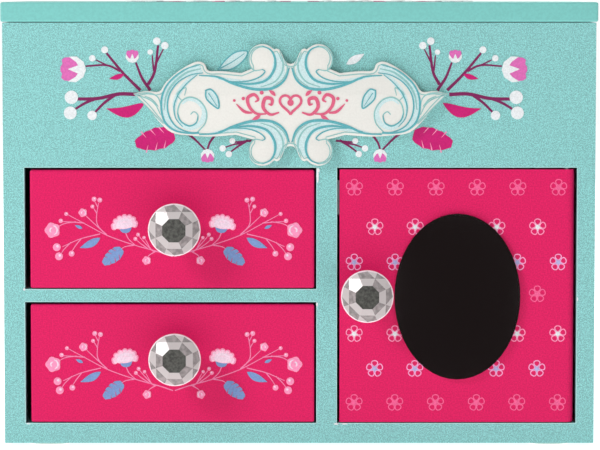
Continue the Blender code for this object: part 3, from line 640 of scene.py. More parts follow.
def drawer_print(drawer, drop):
    """Mirrored branches on a drawer front; drop moves them below the front's centre."""
    low, high = mm_box(drawer + "_front")
    origin = ((low.x + high.x) / 2 + 0.5, FRONT_FACE, (low.z + high.z) / 2 - drop)
    stems, blues, cuts = Film(origin), Film(origin, layer=1), Film(origin, layer=2)
    pinks, whites = Film(origin, layer=2), Film(origin, layer=3)
    lilacs = Film(origin, layer=3)
    for side in (-1.0, 1.0):
        for film in (stems, blues, cuts, pinks, whites, lilacs):
            film.mirror = side
        for points in DRAWER_STEMS:
            stems.stroke(points, 0.46, 0.3, per_span=5)
        blues.leaf((29.6, -2.8), (37.9, -6.9), 3.0, -0.4)
        blues.leaf((36.8, 1.0), (39.8, 2.3), 1.3)
        notched_leaf(blues, cuts, (20.9, -7.3), (28.4, -13.4), 5.8)
        for u, v, radius in DRAWER_BERRIES:
            pinks.disc((u, v), radius, sides=14)
            whites.disc((u - 0.2 * radius, v + 0.25 * radius), radius * 0.34, sides=10)
        rosebud(pinks, whites, (36.6, 7.4), 1.8)
        rosebud(pinks, whites, (48.9, 0.3), 3.2)
        rosebud(pinks, whites, (10.9, -12.0), 1.8)
        fan_flower(pinks, lilacs, whites, blues, (19.8, 2.4))
    stems.finish(drawer + "_stems", STEM_PINK, drawer, "pink_paper")
    blues.finish(drawer + "_blue_leaves", BLUE_LEAF, drawer, "pink_paper")
    cuts.finish(drawer + "_leaf_cuts", PINK, drawer, "pink_paper")
    pinks.finish(drawer + "_berries", PALE_PINK, drawer, "pink_paper")
    lilacs.finish(drawer + "_petals", PETAL, drawer, "pink_paper")
    whites.finish(drawer + "_highlights", SOFT_WHITE, drawer, "pink_paper")


def rosebud(pinks, whites, centre, radius):
    """A round bud with a wavy edge and two pale inner folds."""
    outline = []
    for step in range(24):
        angle = 2 * math.pi * step / 24
        reach = radius * (0.94 + 0.08 * math.cos(5 * angle))
        outline.append((centre[0] + reach * math.cos(angle), centre[1] + reach * math.sin(angle)))
    pinks.polygon(outline)
    for turn, share in ((100, 0.6), (-60, 0.3)):
        points = [(centre[0] + u * radius * share, centre[1] + v * radius * share)
                  for u, v in arc((0, 0), 1.0, turn, turn + 150, 5)]
        whites.stroke(points, radius * 0.08, radius * 0.08, radius * 0.2, 3)


def fan_flower(pinks, petals, whites, blues, centre):
    """An open flower from the side: rounded petals with a pink rim, white middle and blue cup."""
    centre = Vector(centre)
    for film, scale, wide in ((pinks, 1.0, 1.25), (petals, 0.90, 1.0), (whites, 0.62, 0.8)):
        for step in range(9):
            angle = math.radians(90 + (step - 4) * 27)
            rise = 3.3 if step in range(2, 7) else 1.5
            across = math.cos(angle) * 4.4
            tip = centre + Vector((across, math.sin(angle) * rise - 0.12 * across)) * scale
            film.disc(tip, wide * 0.94, sides=14)
        film.disc(centre, 4.4 * scale, 1.8 * scale, -7.0)
    for sign in (-1.0, 0.0, 1.0):
        blues.high += 0.16
        blues.leaf(centre + Vector((-0.4, -3.2)), centre + Vector((sign * 2.6 - 0.4, -0.5)), 1.7)
        blues.high -= 0.16


def door_flowers():
    """A staggered field of outlined five-petal flowers, left out under the mirror and knob."""
    low, high = mm_box("door_panel")
    middle = Vector(((low.x + high.x) / 2, (low.z + high.z) / 2))
    mirror_low, mirror_high = mm_box("door_mirror")
    mirror = Vector(((mirror_low.x + mirror_high.x) / 2, (mirror_low.z + mirror_high.z) / 2))
    knob_low, knob_high = mm_box("door_knob")
    knob = Vector(((knob_low.x + knob_high.x) / 2, (knob_low.z + knob_high.z) / 2))
    origin = (0.0, FRONT_FACE, 0.0)
    faint, faint_dots = Film(origin), Film(origin, layer=1)
    bright, bright_dots = Film(origin), Film(origin, layer=1)
    soft, lilac_dots = Film(origin), Film(origin, layer=1)
    rows = (44.0, 28.0, 13.7, 0.8, -15.4, -29.6, -43.5)
    long_row = (-41.5, -25.0, -8.5, 8.1, 24.5, 41.0)
    short_row = (-33.2, -16.9, -0.4, 16.1, 32.6)
    for number, rise in enumerate(rows):
        for shift in long_row if number % 2 == 0 else short_row:
            spot = middle + Vector((shift, rise))
            off = spot - mirror
            reach = math.hypot(off.x / (mirror_high.x - mirror.x), off.y / (mirror_high.z - mirror.y))
            if reach < 0.84 or (spot - knob).length < 5.5:
                continue
            kind = number % 3
            lines, dots = ((faint, faint_dots), (bright, bright_dots), (soft, lilac_dots))[kind]
            lines.flower(spot, 3.45, 0.42)
            dots.disc(spot, 0.85, sides=14)
            for petal in range(5):
                heading = math.radians(54 + 72 * petal)
                ahead = Vector((math.cos(heading), math.sin(heading)))
                dots.stroke([spot, spot + ahead * 1.6], 0.42, 0.22, per_span=2)
    faint.finish("door_flowers_faint", FLOWER_PINK, "door", "pink_paper")
    faint_dots.finish("door_flower_hearts_pink", FLOWER_PINK, "door", "pink_paper")
    bright.finish("door_flowers_bright", PALE_PINK, "door", "pink_paper")
    bright_dots.finish("door_flower_hearts_white", WHITE, "door", "pink_paper")
    soft.finish("door_flowers_soft", LILAC_LINE, "door", "pink_paper")
    lilac_dots.finish("door_flower_hearts_lilac", LILAC, "door", "pink_paper")


OPENINGS = (((-111.0, 6.9), (9.7, 59.0)), ((-111.0, 6.9), (64.3, 113.5)), ((15.3, 112.2), (9.7, 113.5)))
# Pale turquoise ink that stands for worn paper at cut edges and also paints a highlight where light catches
# them.
WORN_EDGE_AND_HIGHLIGHT = ink("worn_edge_and_painted_highlight", srgb(178, 222, 220))


def opening_edge_wear_and_highlight():
    """Pale lines along the cut edges of the three openings, partly worn paper and partly a painted
    highlight where light catches the edges, and a few chipped corners.
    """
    edges, chips = Film((0.0, FRONT_FACE, 0.0)), Film((0.0, FRONT_FACE, 0.0), layer=1)
    for (left, right), (low, high) in OPENINGS:
        for start, end in (((left, low), (right, low)), ((right, low), (right, high)),
                           ((right, high), (left, high)), ((left, high), (left, low))):
            along = (Vector(end) - Vector(start)).normalized()
            out = Vector((along.y, -along.x)) * 0.2
            points = [Vector(start).lerp(Vector(end), t / 12) + out for t in range(13)]
            edges.stroke(points, 0.3, per_span=1)
    for (u, v), (wide, tall) in (((7.4, 110.0), (0.5, 2.6)), ((7.6, 112.4), (0.7, 0.9)),
                                 ((15.0, 9.3), (1.0, 0.35)), ((18.4, 9.35), (1.3, 0.3)),
                                 ((7.2, 58.0), (0.35, 0.9)), ((-110.0, 9.4), (0.9, 0.25)),
                                 ((112.6, 60.2), (0.3, 0.9)), ((-111.3, 64.2), (0.35, 0.6))):
        outline = [(u + wide * a * (1.0 + 0.15 * math.sin(7 * a + v)), v + tall * b)
                   for a, b in arc((0, 0), 1.0, 0, 330, 11)]
        chips.polygon(outline)
    edges.finish("opening_edge_wear_and_highlight", WORN_EDGE_AND_HIGHLIGHT, "case", "turquoise_paper")
    chips.finish("paper_chips", WHITE, "case", "turquoise_paper")


opening_edge_wear_and_highlight()
header_sprigs()
drawer_print("upper_drawer", 0.7)
drawer_print("lower_drawer", 0.7)
door_flowers()


# ---------------------------------------------------------------- plaque

SCROLL_RADIUS = 5.75
SCROLL_TOP, SCROLL_BOTTOM = (11.3, 18.7), (11.3, -18.7)


def plaque_outline():
    """Right half of the scroll plaque from its top notch to its bottom notch, then mirrored."""
    lobe = [(0.0, 16.5), (1.3, 16.8), (2.6, 18.3), (3.5, 20.7), (4.6, 22.3), (5.6, 22.7), (6.5, 22.3)]
    right = lobe + arc(SCROLL_TOP, SCROLL_RADIUS, 125, -45, 18)
    crest = [(19.8, 12.8), (27.5, 13.6), (33.0, 13.8), (34.6, 16.6), (38.1, 17.3), (44.4, 14.0),
             (49.9, 9.3), (52.8, 5.4), (58.0, 5.6), (63.15, 4.5)]
    right += [tuple(p.to_2d()) for p in spline([(u, v, 0) for u, v in crest], 4)]
    keel = [(63.15, 4.5), (57.6, -1.0), (53.1, -6.4), (47.8, -11.1), (40.0, -12.3), (32.0, -12.7),
            (22.0, -12.0)]
    right += [tuple(p.to_2d()) for p in spline([(u, v, 0) for u, v in keel], 4)][1:]
    right += arc(SCROLL_BOTTOM, SCROLL_RADIUS, 55, -135, 20)
    right += [(u, -v) for u, v in reversed(lobe)]
    left = [(-u, v) for u, v in reversed(right[1:-1])]
    return right + left


def make_plaque():
    low, high = mm_box("plaque")
    centre = Vector(((low.x + high.x) / 2, 0.0, 138.9))
    curve = bpy.data.curves.new("plaque_plate", 'CURVE')
    curve.dimensions = '2D'
    curve.fill_mode = 'BOTH'
    rounding = 0.35
    curve.extrude = (high.y - low.y) / 2 * MM - rounding * MM
    curve.bevel_depth = rounding * MM
    curve.bevel_resolution = 2
    curve.offset = -rounding * MM
    line = curve.splines.new('POLY')
    outline = plaque_outline()
    line.points.add(len(outline) - 1)
    for point, (u, v) in zip(line.points, outline):
        point.co = (u * MM, v * MM, 0.0, 1.0)
    line.use_cyclic_u = True
    plate = bpy.data.objects.new("plaque_plate", curve)
    bpy.context.scene.collection.objects.link(plate)
    plate.location = (centre.x * MM, (low.y + high.y) / 2 * MM, centre.z * MM)
    plate.rotation_euler = (math.pi / 2, 0, 0)
    bpy.context.view_layer.update()
    mesh = evaluated_mesh(plate)
    mesh.transform(plate.matrix_world)
    bpy.data.objects.remove(plate)
    shape = bmesh.new()
    shape.from_mesh(mesh)
    bmesh.ops.remove_doubles(shape, verts=shape.verts, dist=0.000002)
    piece = finish_mesh("plaque_plate", shape, CREAM, "case", 30)
    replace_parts(piece, "plaque")
    plaque_print((centre.x, low.y, centre.z))


def plaque_print(origin):
    """Scrolls and leaves in teal on cream, mirrored left and right, and top and bottom."""
    aqua, pale, teal = Film(origin), Film(origin, layer=1), Film(origin, layer=2)
    for side in (-1.0, 1.0):
        for film in (aqua, pale, teal):
            film.mirror = side
        for flip in (1.0, -1.0):
            scroll_pair(aqua, pale, teal, flip)
        end_scroll(aqua, pale, teal)
    for film in (aqua, pale, teal):
        film.mirror = 1.0
    pale.ring(inset(plaque_outline(), 1.15), 0.38)
    aqua.finish("plaque_aqua_bands", PALE_AQUA, "case", "plaque_board")
    pale.finish("plaque_fine_lines", PALE_TEAL, "case", "plaque_board")
    teal.finish("plaque_teal_lines", TEAL, "case", "plaque_board")
    centre_ornament(origin)
    small_leaf(origin)


def inset(outline, distance):
    """The outline moved inwards, for one that runs clockwise."""
    count = len(outline)
    moved = []
    for index, here in enumerate(outline):
        along = (Vector(outline[(index + 1) % count]) - Vector(outline[index - 1])).normalized()
        moved.append(Vector(here) + Vector((along.y, -along.x)) * distance)
    return moved


def scroll_pair(aqua, pale, teal, flip):
    """One upper scroll with its sweeping band; flip -1 gives the lower one."""
    def turn(points):
        return [(u, v * flip) for u, v in points]
    teal.stroke(turn([(36.8, 11.9), (29.4, 11.3), (23.6, 8.8), (17.0, 6.8), (11.3, 6.2), (6.0, 7.2),
                      (2.2, 10.4), (0.5, 15.0)]), 0.4, 0.5, 1.1)
    teal.stroke(turn([(29.0, 10.7), (22.0, 9.0), (15.4, 8.5), (9.6, 10.1), (6.6, 14.2), (6.2, 18.4),
                      (7.9, 22.0), (11.3, 23.7)]), 0.2, 0.35, 1.0)
    pale.stroke(turn([(11.3, 23.7), (14.6, 22.8), (16.6, 19.8), (16.5, 16.4), (14.6, 13.9),
                      (11.4, 14.2)]), 0.4, 0.3, 0.6)
    teal.stroke(turn([(24.0, 9.4), (17.8, 9.5), (12.9, 11.0), (10.3, 13.3), (11.5, 14.4)]), 0.2, 0.3, 0.55)
    pale.stroke(turn([(12.1, 7.2), (6.4, 9.3), (3.4, 13.4), (3.1, 17.6), (4.3, 21.4)]), 0.3, 0.3, 0.7)
    pale.stroke(turn([(7.2, 7.3), (3.0, 10.6), (1.3, 14.6), (2.4, 18.0)]), 0.3, 0.3, 0.5)
    upper = spline([(33.0, 12.0, 0), (26.0, 11.0, 0), (19.0, 10.2, 0), (12.0, 10.4, 0), (8.2, 12.6, 0),
                    (7.0, 17.0, 0), (6.0, 21.2, 0)])
    lower = spline([(33.0, 11.4, 0), (26.0, 9.4, 0), (19.0, 7.4, 0), (12.0, 6.4, 0), (6.0, 8.0, 0),
                    (2.4, 12.0, 0), (2.6, 18.6, 0)])
    aqua.strip([(p.x, p.y * flip) for p in upper], [(p.x, p.y * flip) for p in lower])


def end_scroll(aqua, pale, teal):
    """The big C scroll, inner spiral, tip leaf and drop leaf at one end of the plaque."""
    outer = [(36.3, 16.2), (42.5, 14.2), (47.9, 10.1), (51.1, 5.2), (52.0, -0.6), (50.7, -6.4),
             (47.0, -10.0), (41.7, -11.3), (36.8, -11.4)]
    inner = [(35.1, 12.9), (40.0, 12.1), (45.0, 9.3), (48.3, 5.1), (49.5, 0.2), (48.7, -4.7),
             (45.8, -8.8), (40.9, -10.9), (36.8, -11.0)]
    aqua.strip([p.to_2d() for p in spline([(u, v, 0) for u, v in outer])],
               [p.to_2d() for p in spline([(u, v, 0) for u, v in inner])])
    aqua.stroke([(45.4, -3.1), (44.4, -7.0), (40.9, -9.2), (36.4, -7.6), (34.6, -2.6), (37.0, 1.2),
                 (40.9, 2.3), (43.6, 0.4)], 0.6, 0.6, 2.0)
    aqua.stroke([(36.0, 13.6), (41.0, 9.8), (44.6, 5.4), (46.6, 0.6), (46.4, -4.6)], 0.5, 0.4, 2.0)
    teal.stroke([(37.4, 12.2), (41.7, 8.6), (45.0, 4.4), (46.8, -0.4), (46.2, -5.2), (43.4, -8.8)],
                0.3, 0.3, 0.5)
    teal.stroke(outer, 0.3, 0.4, 0.8)
    teal.stroke(inner, 0.3, 0.3, 0.6)
    pale.stroke([(35.9, 14.6), (41.7, 13.0), (47.0, 8.8), (49.9, 3.9), (50.8, -2.0)], 0.4, 0.3, 0.9)
    pale.stroke([(37.6, -11.1), (34.3, -7.2), (33.9, -2.3), (36.8, 1.9), (40.9, 3.1), (44.2, 1.0),
                 (45.4, -3.1), (44.2, -6.4), (40.9, -8.4), (38.0, -7.2), (37.2, -4.3), (38.8, -2.7),
                 (40.2, -3.8)], 0.5, 0.4, 0.6, 5)
    teal.stroke([(45.4, -3.1), (44.2, -6.4), (40.9, -8.4), (38.0, -7.2), (37.2, -4.3)], 0.2, 0.25, 0.6)
    pale.stroke([(43.6, 1.6), (45.6, 4.4), (42.1, 7.0), (42.6, 3.8)], 0.35, 0.25, 0.5)
    for points in ([(62.8, 4.3), (58.2, 4.9), (54.8, 4.2), (52.8, 2.2), (51.9, -2.4)],
                   [(62.4, 4.0), (57.6, 2.6), (54.4, 0.2), (52.2, -4.0)],
                   [(62.0, 3.6), (57.9, -0.6), (53.8, -4.9), (51.1, -7.6)],
                   [(58.6, 3.6), (55.6, 2.2), (53.2, -0.6)]):
        pale.stroke(points, 0.3, 0.3, 0.5)
    drop = [(34.1, 5.9), (33.9, 2.8), (31.8, 0.4), (28.9, -1.3), (29.3, 3.0), (31.8, 6.2)]
    smooth_drop = [tuple(p.to_2d()) for p in spline([(u, v, 0) for u, v in drop + drop[:1]])][:-1]
    aqua.polygon(smooth_drop)
    teal.ring(smooth_drop, 0.6)
    teal.stroke([(33.0, 4.8), (31.4, 2.4), (29.6, -0.4)], 0.4, 0.2)


def small_leaf(origin):
    """A single printed leaf on the header, beside the plaque's upper left scroll."""
    on_header = (origin[0], FRONT_FACE, origin[2])
    aqua, teal = Film(on_header), Film(on_header, layer=1)
    aqua.mirror = teal.mirror = -1.0
    edge = [(29.3, 14.0), (26.0, 18.2), (21.9, 21.2), (17.4, 21.4), (19.0, 17.8), (23.8, 14.4)]
    line = [tuple(p.to_2d()) for p in spline([(u, v, 0) for u, v in edge + edge[:1]])][:-1]
    aqua.polygon(line)
    teal.ring(line, 0.5)
    teal.stroke([(28.4, 14.6), (23.6, 17.2), (18.6, 20.6)], 0.5, 0.25)
    aqua.finish("header_small_leaf", PALE_AQUA, "case", "turquoise_paper")
    teal.finish("header_small_leaf_lines", TEAL, "case", "turquoise_paper")


def centre_ornament(origin):
    """A heart between mirrored curls, in place of any lettering."""
    coral = Film(origin, layer=2)
    half_heart = []
    for step in range(21):
        t = math.pi * step / 20
        half_heart.append((0.27 * 16 * math.sin(t) ** 3,
                           0.6 + 0.27 * (13 * math.cos(t) - 5 * math.cos(2 * t) - 2 * math.cos(3 * t)
                                         - math.cos(4 * t))))
    coral.disc((0.0, 0.9), 1.3)
    for side in (-1.0, 1.0):
        coral.mirror = side
        coral.stroke(half_heart, 1.0, 1.0, per_span=2)
        coral.stroke([(4.6, -3.0), (8.2, -3.8), (11.0, -1.0), (10.2, 2.6), (7.6, 2.4), (7.6, 0.2),
                      (8.9, 0.4)], 0.6, 0.5, 1.5)
        coral.stroke([(9.8, -3.6), (13.8, -3.4), (16.6, -0.6), (17.2, 2.8), (14.6, 4.2), (13.0, 2.2),
                      (14.3, 1.2)], 0.5, 0.5, 1.4)
        coral.stroke([(15.4, -3.2), (18.6, -2.6), (21.8, 0.4)], 0.5, 0.3, 1.2)
        coral.leaf((12.0, -4.0), (15.6, -6.0), 1.5, -0.2)
        coral.leaf((6.0, 3.6), (8.8, 6.0), 1.5, 0.2)
        coral.disc((11.6, 5.0), 0.8)
        coral.disc((19.0, 2.6), 0.7)
        coral.disc((22.6, 1.8), 0.55)
    coral.finish("plaque_heart_ornament", CORAL, "case", "plaque_board")


make_plaque()


# ---------------------------------------------------------------- knobs

def gem(name, knob_node, body):
    """A brilliant-cut knob of clear crystal with painted light: a table painted as a dark reflection, rings
    of facets painted lit and painted in shade, a rim painted with a pale highlight, and a brass foot.
    """
    low, high = mm_box(knob_node)
    x, z = (low.x + high.x) / 2, (low.z + high.z) / 2
    tip = high.y - low.y
    radius = (high.x - low.x) / 2
    rings = {"table": (8, radius * 0.48, tip, 22.5), "middle": (8, radius * 0.76, tip - 1.7, 22.5),
             "girdle": (16, radius * 0.97, tip - 3.4, 0.0)}

    def corner(ring, index):
        count, reach, height, offset = rings[ring]
        angle = math.radians(offset + 360.0 * index / count)
        return Vector((x + reach * math.cos(angle), high.y - height, z + reach * math.sin(angle))) * MM

    table, bright, grey = bmesh.new(), bmesh.new(), bmesh.new()
    add_facet(table, [corner("table", k) for k in range(8)])
    for k in range(8):
        # Each facet is painted lit or painted in shade by its place in the ring, not shaded by the lamps.
        own, other = (bright, grey) if k % 3 else (grey, bright)
        add_facet(own, [corner("table", k), corner("middle", k), corner("middle", k + 1),
                        corner("table", k + 1)])
        add_facet(bright, [corner("middle", k), corner("girdle", 2 * k + 1), corner("girdle", 2 * k + 2)])
        add_facet(other, [corner("middle", k), corner("girdle", 2 * k + 2), corner("middle", k + 1)])
        add_facet(grey, [corner("middle", k + 1), corner("girdle", 2 * k + 2),
                         corner("girdle", 2 * k + 3)])
    finish_mesh(name + "_table", table, DARK_REFLECTION_CRYSTAL, body)
    finish_mesh(name + "_painted_lit_facets", bright, LIT_CRYSTAL, body)
    finish_mesh(name + "_painted_shade_facets", grey, SHADED_CRYSTAL, body)

    pavilion = bmesh.new()
    lathe(pavilion, [(0.0, tip - 1.2), (radius * 0.44, tip - 1.2), (radius * 0.70, tip - 2.6),
                     (radius * 0.96, tip - 4.6), (radius * 0.96, tip - 5.2), (5.2, 4.2), (4.9, 3.2),
                     (0.0, 3.2)], (x, high.y, z), 'FRONT', 16)
    heart = finish_mesh(name + "_pavilion", pavilion, LIT_CRYSTAL, body)
    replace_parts(heart, knob_node)

    foot = bmesh.new()
    lathe(foot, [(0.0, 3.5), (4.6, 3.5), (4.7, 2.6), (5.6, 1.9), (6.5, 1.5), (6.7, 0.9), (6.5, 0.3),
                 (6.0, 0.0), (0.0, 0.0)], (x, high.y, z), 'FRONT')
    finish_mesh(name + "_foot", foot, BRASS, body, 40)

    # The rim band's pale pink is a painted highlight with a painted reflection of the pink front.
    band = bmesh.new()
    lathe(band, [(radius, tip - 3.9), (radius, tip - 5.3), (radius - 0.5, tip - 5.6),
                 (radius - 0.6, tip - 3.45)], (x, high.y, z), 'FRONT', 64)
    finish_mesh(name + "_rim", band, RIM_HIGHLIGHT, body, 30)


FACET_SKIN = 0.5


def add_facet(shape, corners):
    """One facet as a thin closed plate of its own, facing -Y."""
    inward = Vector((0.0, FACET_SKIN, 0.0)) * MM
    top = [shape.verts.new(corner) for corner in corners]
    under = [shape.verts.new(corner + inward) for corner in corners]
    shape.faces.new(top)
    shape.faces.new(under[::-1])
    for a in range(len(corners)):
        b = (a + 1) % len(corners)
        shape.faces.new((top[b], top[a], under[a], under[b]))


gem("upper_drawer_gem", "upper_drawer_knob", "upper_drawer")
gem("lower_drawer_gem", "lower_drawer_knob", "lower_drawer")
gem("door_gem", "door_knob", "door")


# ---------------------------------------------------------------- lid

def lid_top_print():
    """Mirrored sprigs on the lid's top, which is seen only at a glancing angle from the front."""
    low, high = mm_box("lid_board")
    frame_of_top = dict(u_axis=(1, 0, 0), v_axis=(0, 1, 0), out=(0, 0, 1))
    origin = (0.0, (low.y + high.y) / 2, high.z)
    stems, leaves = Film(origin, **frame_of_top), Film(origin, layer=1, **frame_of_top)
    buds, whites = Film(origin, layer=2, **frame_of_top), Film(origin, layer=3, **frame_of_top)
    veins = Film(origin, layer=2, **frame_of_top)
    for side in (-1.0, 1.0):
        for flip in (-1.0, 1.0):
            for film in (stems, leaves, buds, whites, veins):
                film.mirror = side
            top_sprig(stems, leaves, veins, buds, whites, flip)
    stems.finish("lid_top_stems", PLUM, "lid", "lid_paper")
    leaves.finish("lid_top_leaves", MAGENTA, "lid", "lid_paper")
    buds.finish("lid_top_buds", BUD_PINK, "lid", "lid_paper")
    whites.finish("lid_top_berries", WHITE, "lid", "lid_paper")
    veins.finish("lid_top_leaf_cuts", PALE_PINK, "lid", "lid_paper")


def top_sprig(stems, leaves, veins, buds, whites, flip):
    """One quarter of the lid's wreath, around the middle of the lid."""
    def turn(u, v):
        return (u, v * flip)
    stems.stroke([turn(4.0, 30.0), turn(26.0, 34.0), turn(48.0, 28.0), turn(62.0, 10.0)], 0.8, 1.0, 1.8)
    for (u, v), (tip_u, tip_v), radius in (
            ((14.0, 32.4), (12.0, 44.0), 1.9), ((24.0, 33.8), (28.0, 46.0), 2.2),
            ((36.0, 32.6), (44.0, 43.0), 2.0), ((50.0, 26.6), (61.0, 33.0), 2.3),
            ((57.0, 18.6), (70.0, 20.0), 2.0), ((20.0, 33.4), (22.0, 23.0), 1.7),
            ((44.0, 30.0), (41.0, 19.0), 1.9)):
        middle = ((u + tip_u) / 2 + 1.0, (v + tip_v) / 2)
        stems.stroke([turn(u, v), turn(*middle), turn(tip_u, tip_v)], 1.0, 0.6, per_span=4)
        whites.disc(turn(tip_u, tip_v), radius)
    notched_leaf(leaves, veins, turn(30.0, 32.0), turn(33.0, 17.0), 8.0)
    leaves.leaf(turn(53.0, 23.0), turn(50.0, 11.0), 4.4)
    leaves.leaf(turn(8.0, 31.2), turn(3.5, 41.0), 3.6)
    blossom(whites, buds, turn(65.5, 7.0), 5.0, -60.0 * flip)


def lid_lining():
    """Pink lining under the lid, with a bevelled brass frame that holds the mirror."""
    low, high = mm_box("lid_mirror")
    board_low, board_high = mm_box("lid_board")
    shape = bmesh.new()
    band = 3.0
    for (x0, x1), (y0, y1) in (((low.x - band, high.x + band), (low.y - band, low.y + 0.6)),
                               ((low.x - band, high.x + band), (high.y - 0.6, high.y + band)),
                               ((low.x - band, low.x + 0.6), (low.y + 0.62, high.y - 0.62)),
                               ((high.x - 0.6, high.x + band), (low.y + 0.62, high.y - 0.62))):
        part = bmesh.new()
        block(part, (x0, y0, low.z - 0.35), (x1, y1, high.z + 0.25))
        bmesh.ops.bevel(part, geom=part.edges[:], offset=0.5 * MM, segments=3, affect='EDGES',
                        profile=0.6)
        mesh = bpy.data.meshes.new("frame_part")
        part.to_mesh(mesh)
        part.free()
        shape.from_mesh(mesh)
    finish_mesh("lid_mirror_frame", shape, BRASS, "lid", 40)

    panel = Film((0.0, 0.0, board_low.z), u_axis=(1, 0, 0), v_axis=(0, 1, 0), out=(0, 0, -1))
    panel.high = LINING_LIFT
    edge_x = board_high.x - 3.0
    inner_x, inner_y = high.x + band + 0.2, high.y + band + 0.2
    for (x0, x1), (y0, y1) in (((-edge_x, edge_x), (inner_y, board_high.y - 3.0)),
                               ((-edge_x, edge_x), (board_low.y + 3.0, -inner_y)),
                               ((-edge_x, -inner_x), (-inner_y, inner_y)),
                               ((inner_x, edge_x), (-inner_y, inner_y))):
        panel.polygon([(x0, y0), (x1, y0), (x1, y1), (x0, y1)])
    panel.finish("lid_lining", LINING, "lid", "inner_lining")


# ---------------------------------------------------------------- case outside

def side_wraps():
    """The paper wrapped over each side, which hides the joints of the boards."""
    side_low, side_high = mm_box("left_side")[0], mm_box("right_side")[1]
    front, back = mm_box("front_panel")[0].y + 0.15, mm_box("back_panel")[1].y - 0.15
    bottom = mm_box("bottom_board")[0].z + 0.15
    top = side_high.z - 0.15
    for name, x, out in (("left", side_low.x, -1), ("right", side_high.x, 1)):
        wrap = Film((x, 0.0, 0.0), u_axis=(0, 1, 0), v_axis=(0, 0, 1), out=(out, 0, 0))
        rows = 14
        low_rail = [(front + (back - front) * t / rows, bottom) for t in range(rows + 1)]
        high_rail = [(u, top) for u, _ in low_rail]
        wrap.strip(low_rail, high_rail)
        wrap.finish(name + "_side_wrap", TURQUOISE, "case", "turquoise_paper")
        seam = Film((x, 0.0, 0.0), u_axis=(0, 1, 0), v_axis=(0, 0, 1), out=(out, 0, 0), layer=1)
        # A pale paper seam, in the ink that also marks the opening edges with wear and a painted highlight.
        seam.stroke([(back - 9.0, bottom), (back - 9.1, (bottom + top) / 2), (back - 9.0, top)], 0.25)
        seam.finish(name + "_paper_seam", WORN_EDGE_AND_HIGHLIGHT, "case", "turquoise_paper")


def round_pads():
    """Foam pads with soft edges under the corners."""
    for node in ("foot_pad_front_left", "foot_pad_front_right", "foot_pad_back_left",
                 "foot_pad_back_right"):
        low, high = mm_box(node)
        centre = ((low.x + high.x) / 2, (low.y + high.y) / 2, low.z)
        radius, tall = (high.x - low.x) / 2, high.z - low.z
        shape = bmesh.new()
        lathe(shape, [(0.0, 0.0), (radius - 0.5, 0.0), (radius - 0.15, 0.15), (radius, 0.45),
                      (radius, tall - 0.25), (radius - 0.2, tall), (0.0, tall)], centre)
        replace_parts(finish_mesh(node + "_round", shape, FOAM, "case", 50), node)


def screw_head(shape, centre, radius, axis):
    """A domed head standing 0.8 mm proud; the cross on it is drawn separately, as painted shade."""
    lathe(shape, [(0.0, -0.2), (radius, -0.2), (radius, 0.12), (radius * 0.86, 0.42),
                  (radius * 0.55, 0.66), (0.0, 0.74)], centre, axis, 24)


def cross_recess_shade(shape, centre, radius, out):
    """Painted shade of the cross recess: two thin dark bars laid on a screw head that faces along Y."""
    x, y, z = centre
    near, far = sorted((y + out * 0.60, y + out * 0.765))
    block(shape, (x - radius * 0.6, near, z - 0.14), (x + radius * 0.6, far, z + 0.14))
    block(shape, (x - 0.14, near, z - radius * 0.6), (x + 0.14, far, z + radius * 0.6))


def hinge_screws():
    """Two screws in each leaf of both hinges."""
    for side in ("left", "right"):
        for leaf, body in (("hinge_case_leaf_", "case"), ("hinge_lid_leaf_", "lid")):
            low, high = mm_box(leaf + side)
            lid_side = body == "lid"
            wide = min(7.5, (high.x - low.x) / 2 - 3.0)
            middle = (low.x + high.x) / 2
            plate_y = (LID_LEAF_BACK if lid_side else CASE_LEAF_BACK)
            z = high.z - 2.6 if lid_side else low.z + 4.2
            heads, cuts = bmesh.new(), bmesh.new()
            for x in (middle - wide, middle + wide):
                centre = (x, plate_y, z)
                screw_head(heads, centre, 1.5, 'BACK')
                cross_recess_shade(cuts, centre, 1.5, 1)
            finish_mesh(leaf + side + "_screws", heads, BRASS, body, 40)
            # Painted shade: dark bars in place of the shaded cross recess in each head.
            finish_mesh(leaf + side + "_screw_cut_shade", cuts, RECESS_SHADE, body)


def key_escutcheon():
    """A thin turned ring round the arbor hole in the back."""
    low, high = mm_box("winding_key")
    centre = ((low.x + high.x) / 2, mm_box("back_panel")[1].y, 78.0)
    shape = bmesh.new()
    lathe(shape, [(3.6, -0.05), (7.0, -0.05), (7.2, 0.12), (6.9, 0.34), (6.2, 0.40), (5.6, 0.26),
                  (4.6, 0.34), (3.9, 0.30)], centre, 'BACK', 48)
    finish_mesh("key_escutcheon", shape, BRASS, "case", 40)


# ---------------------------------------------------------------- inside

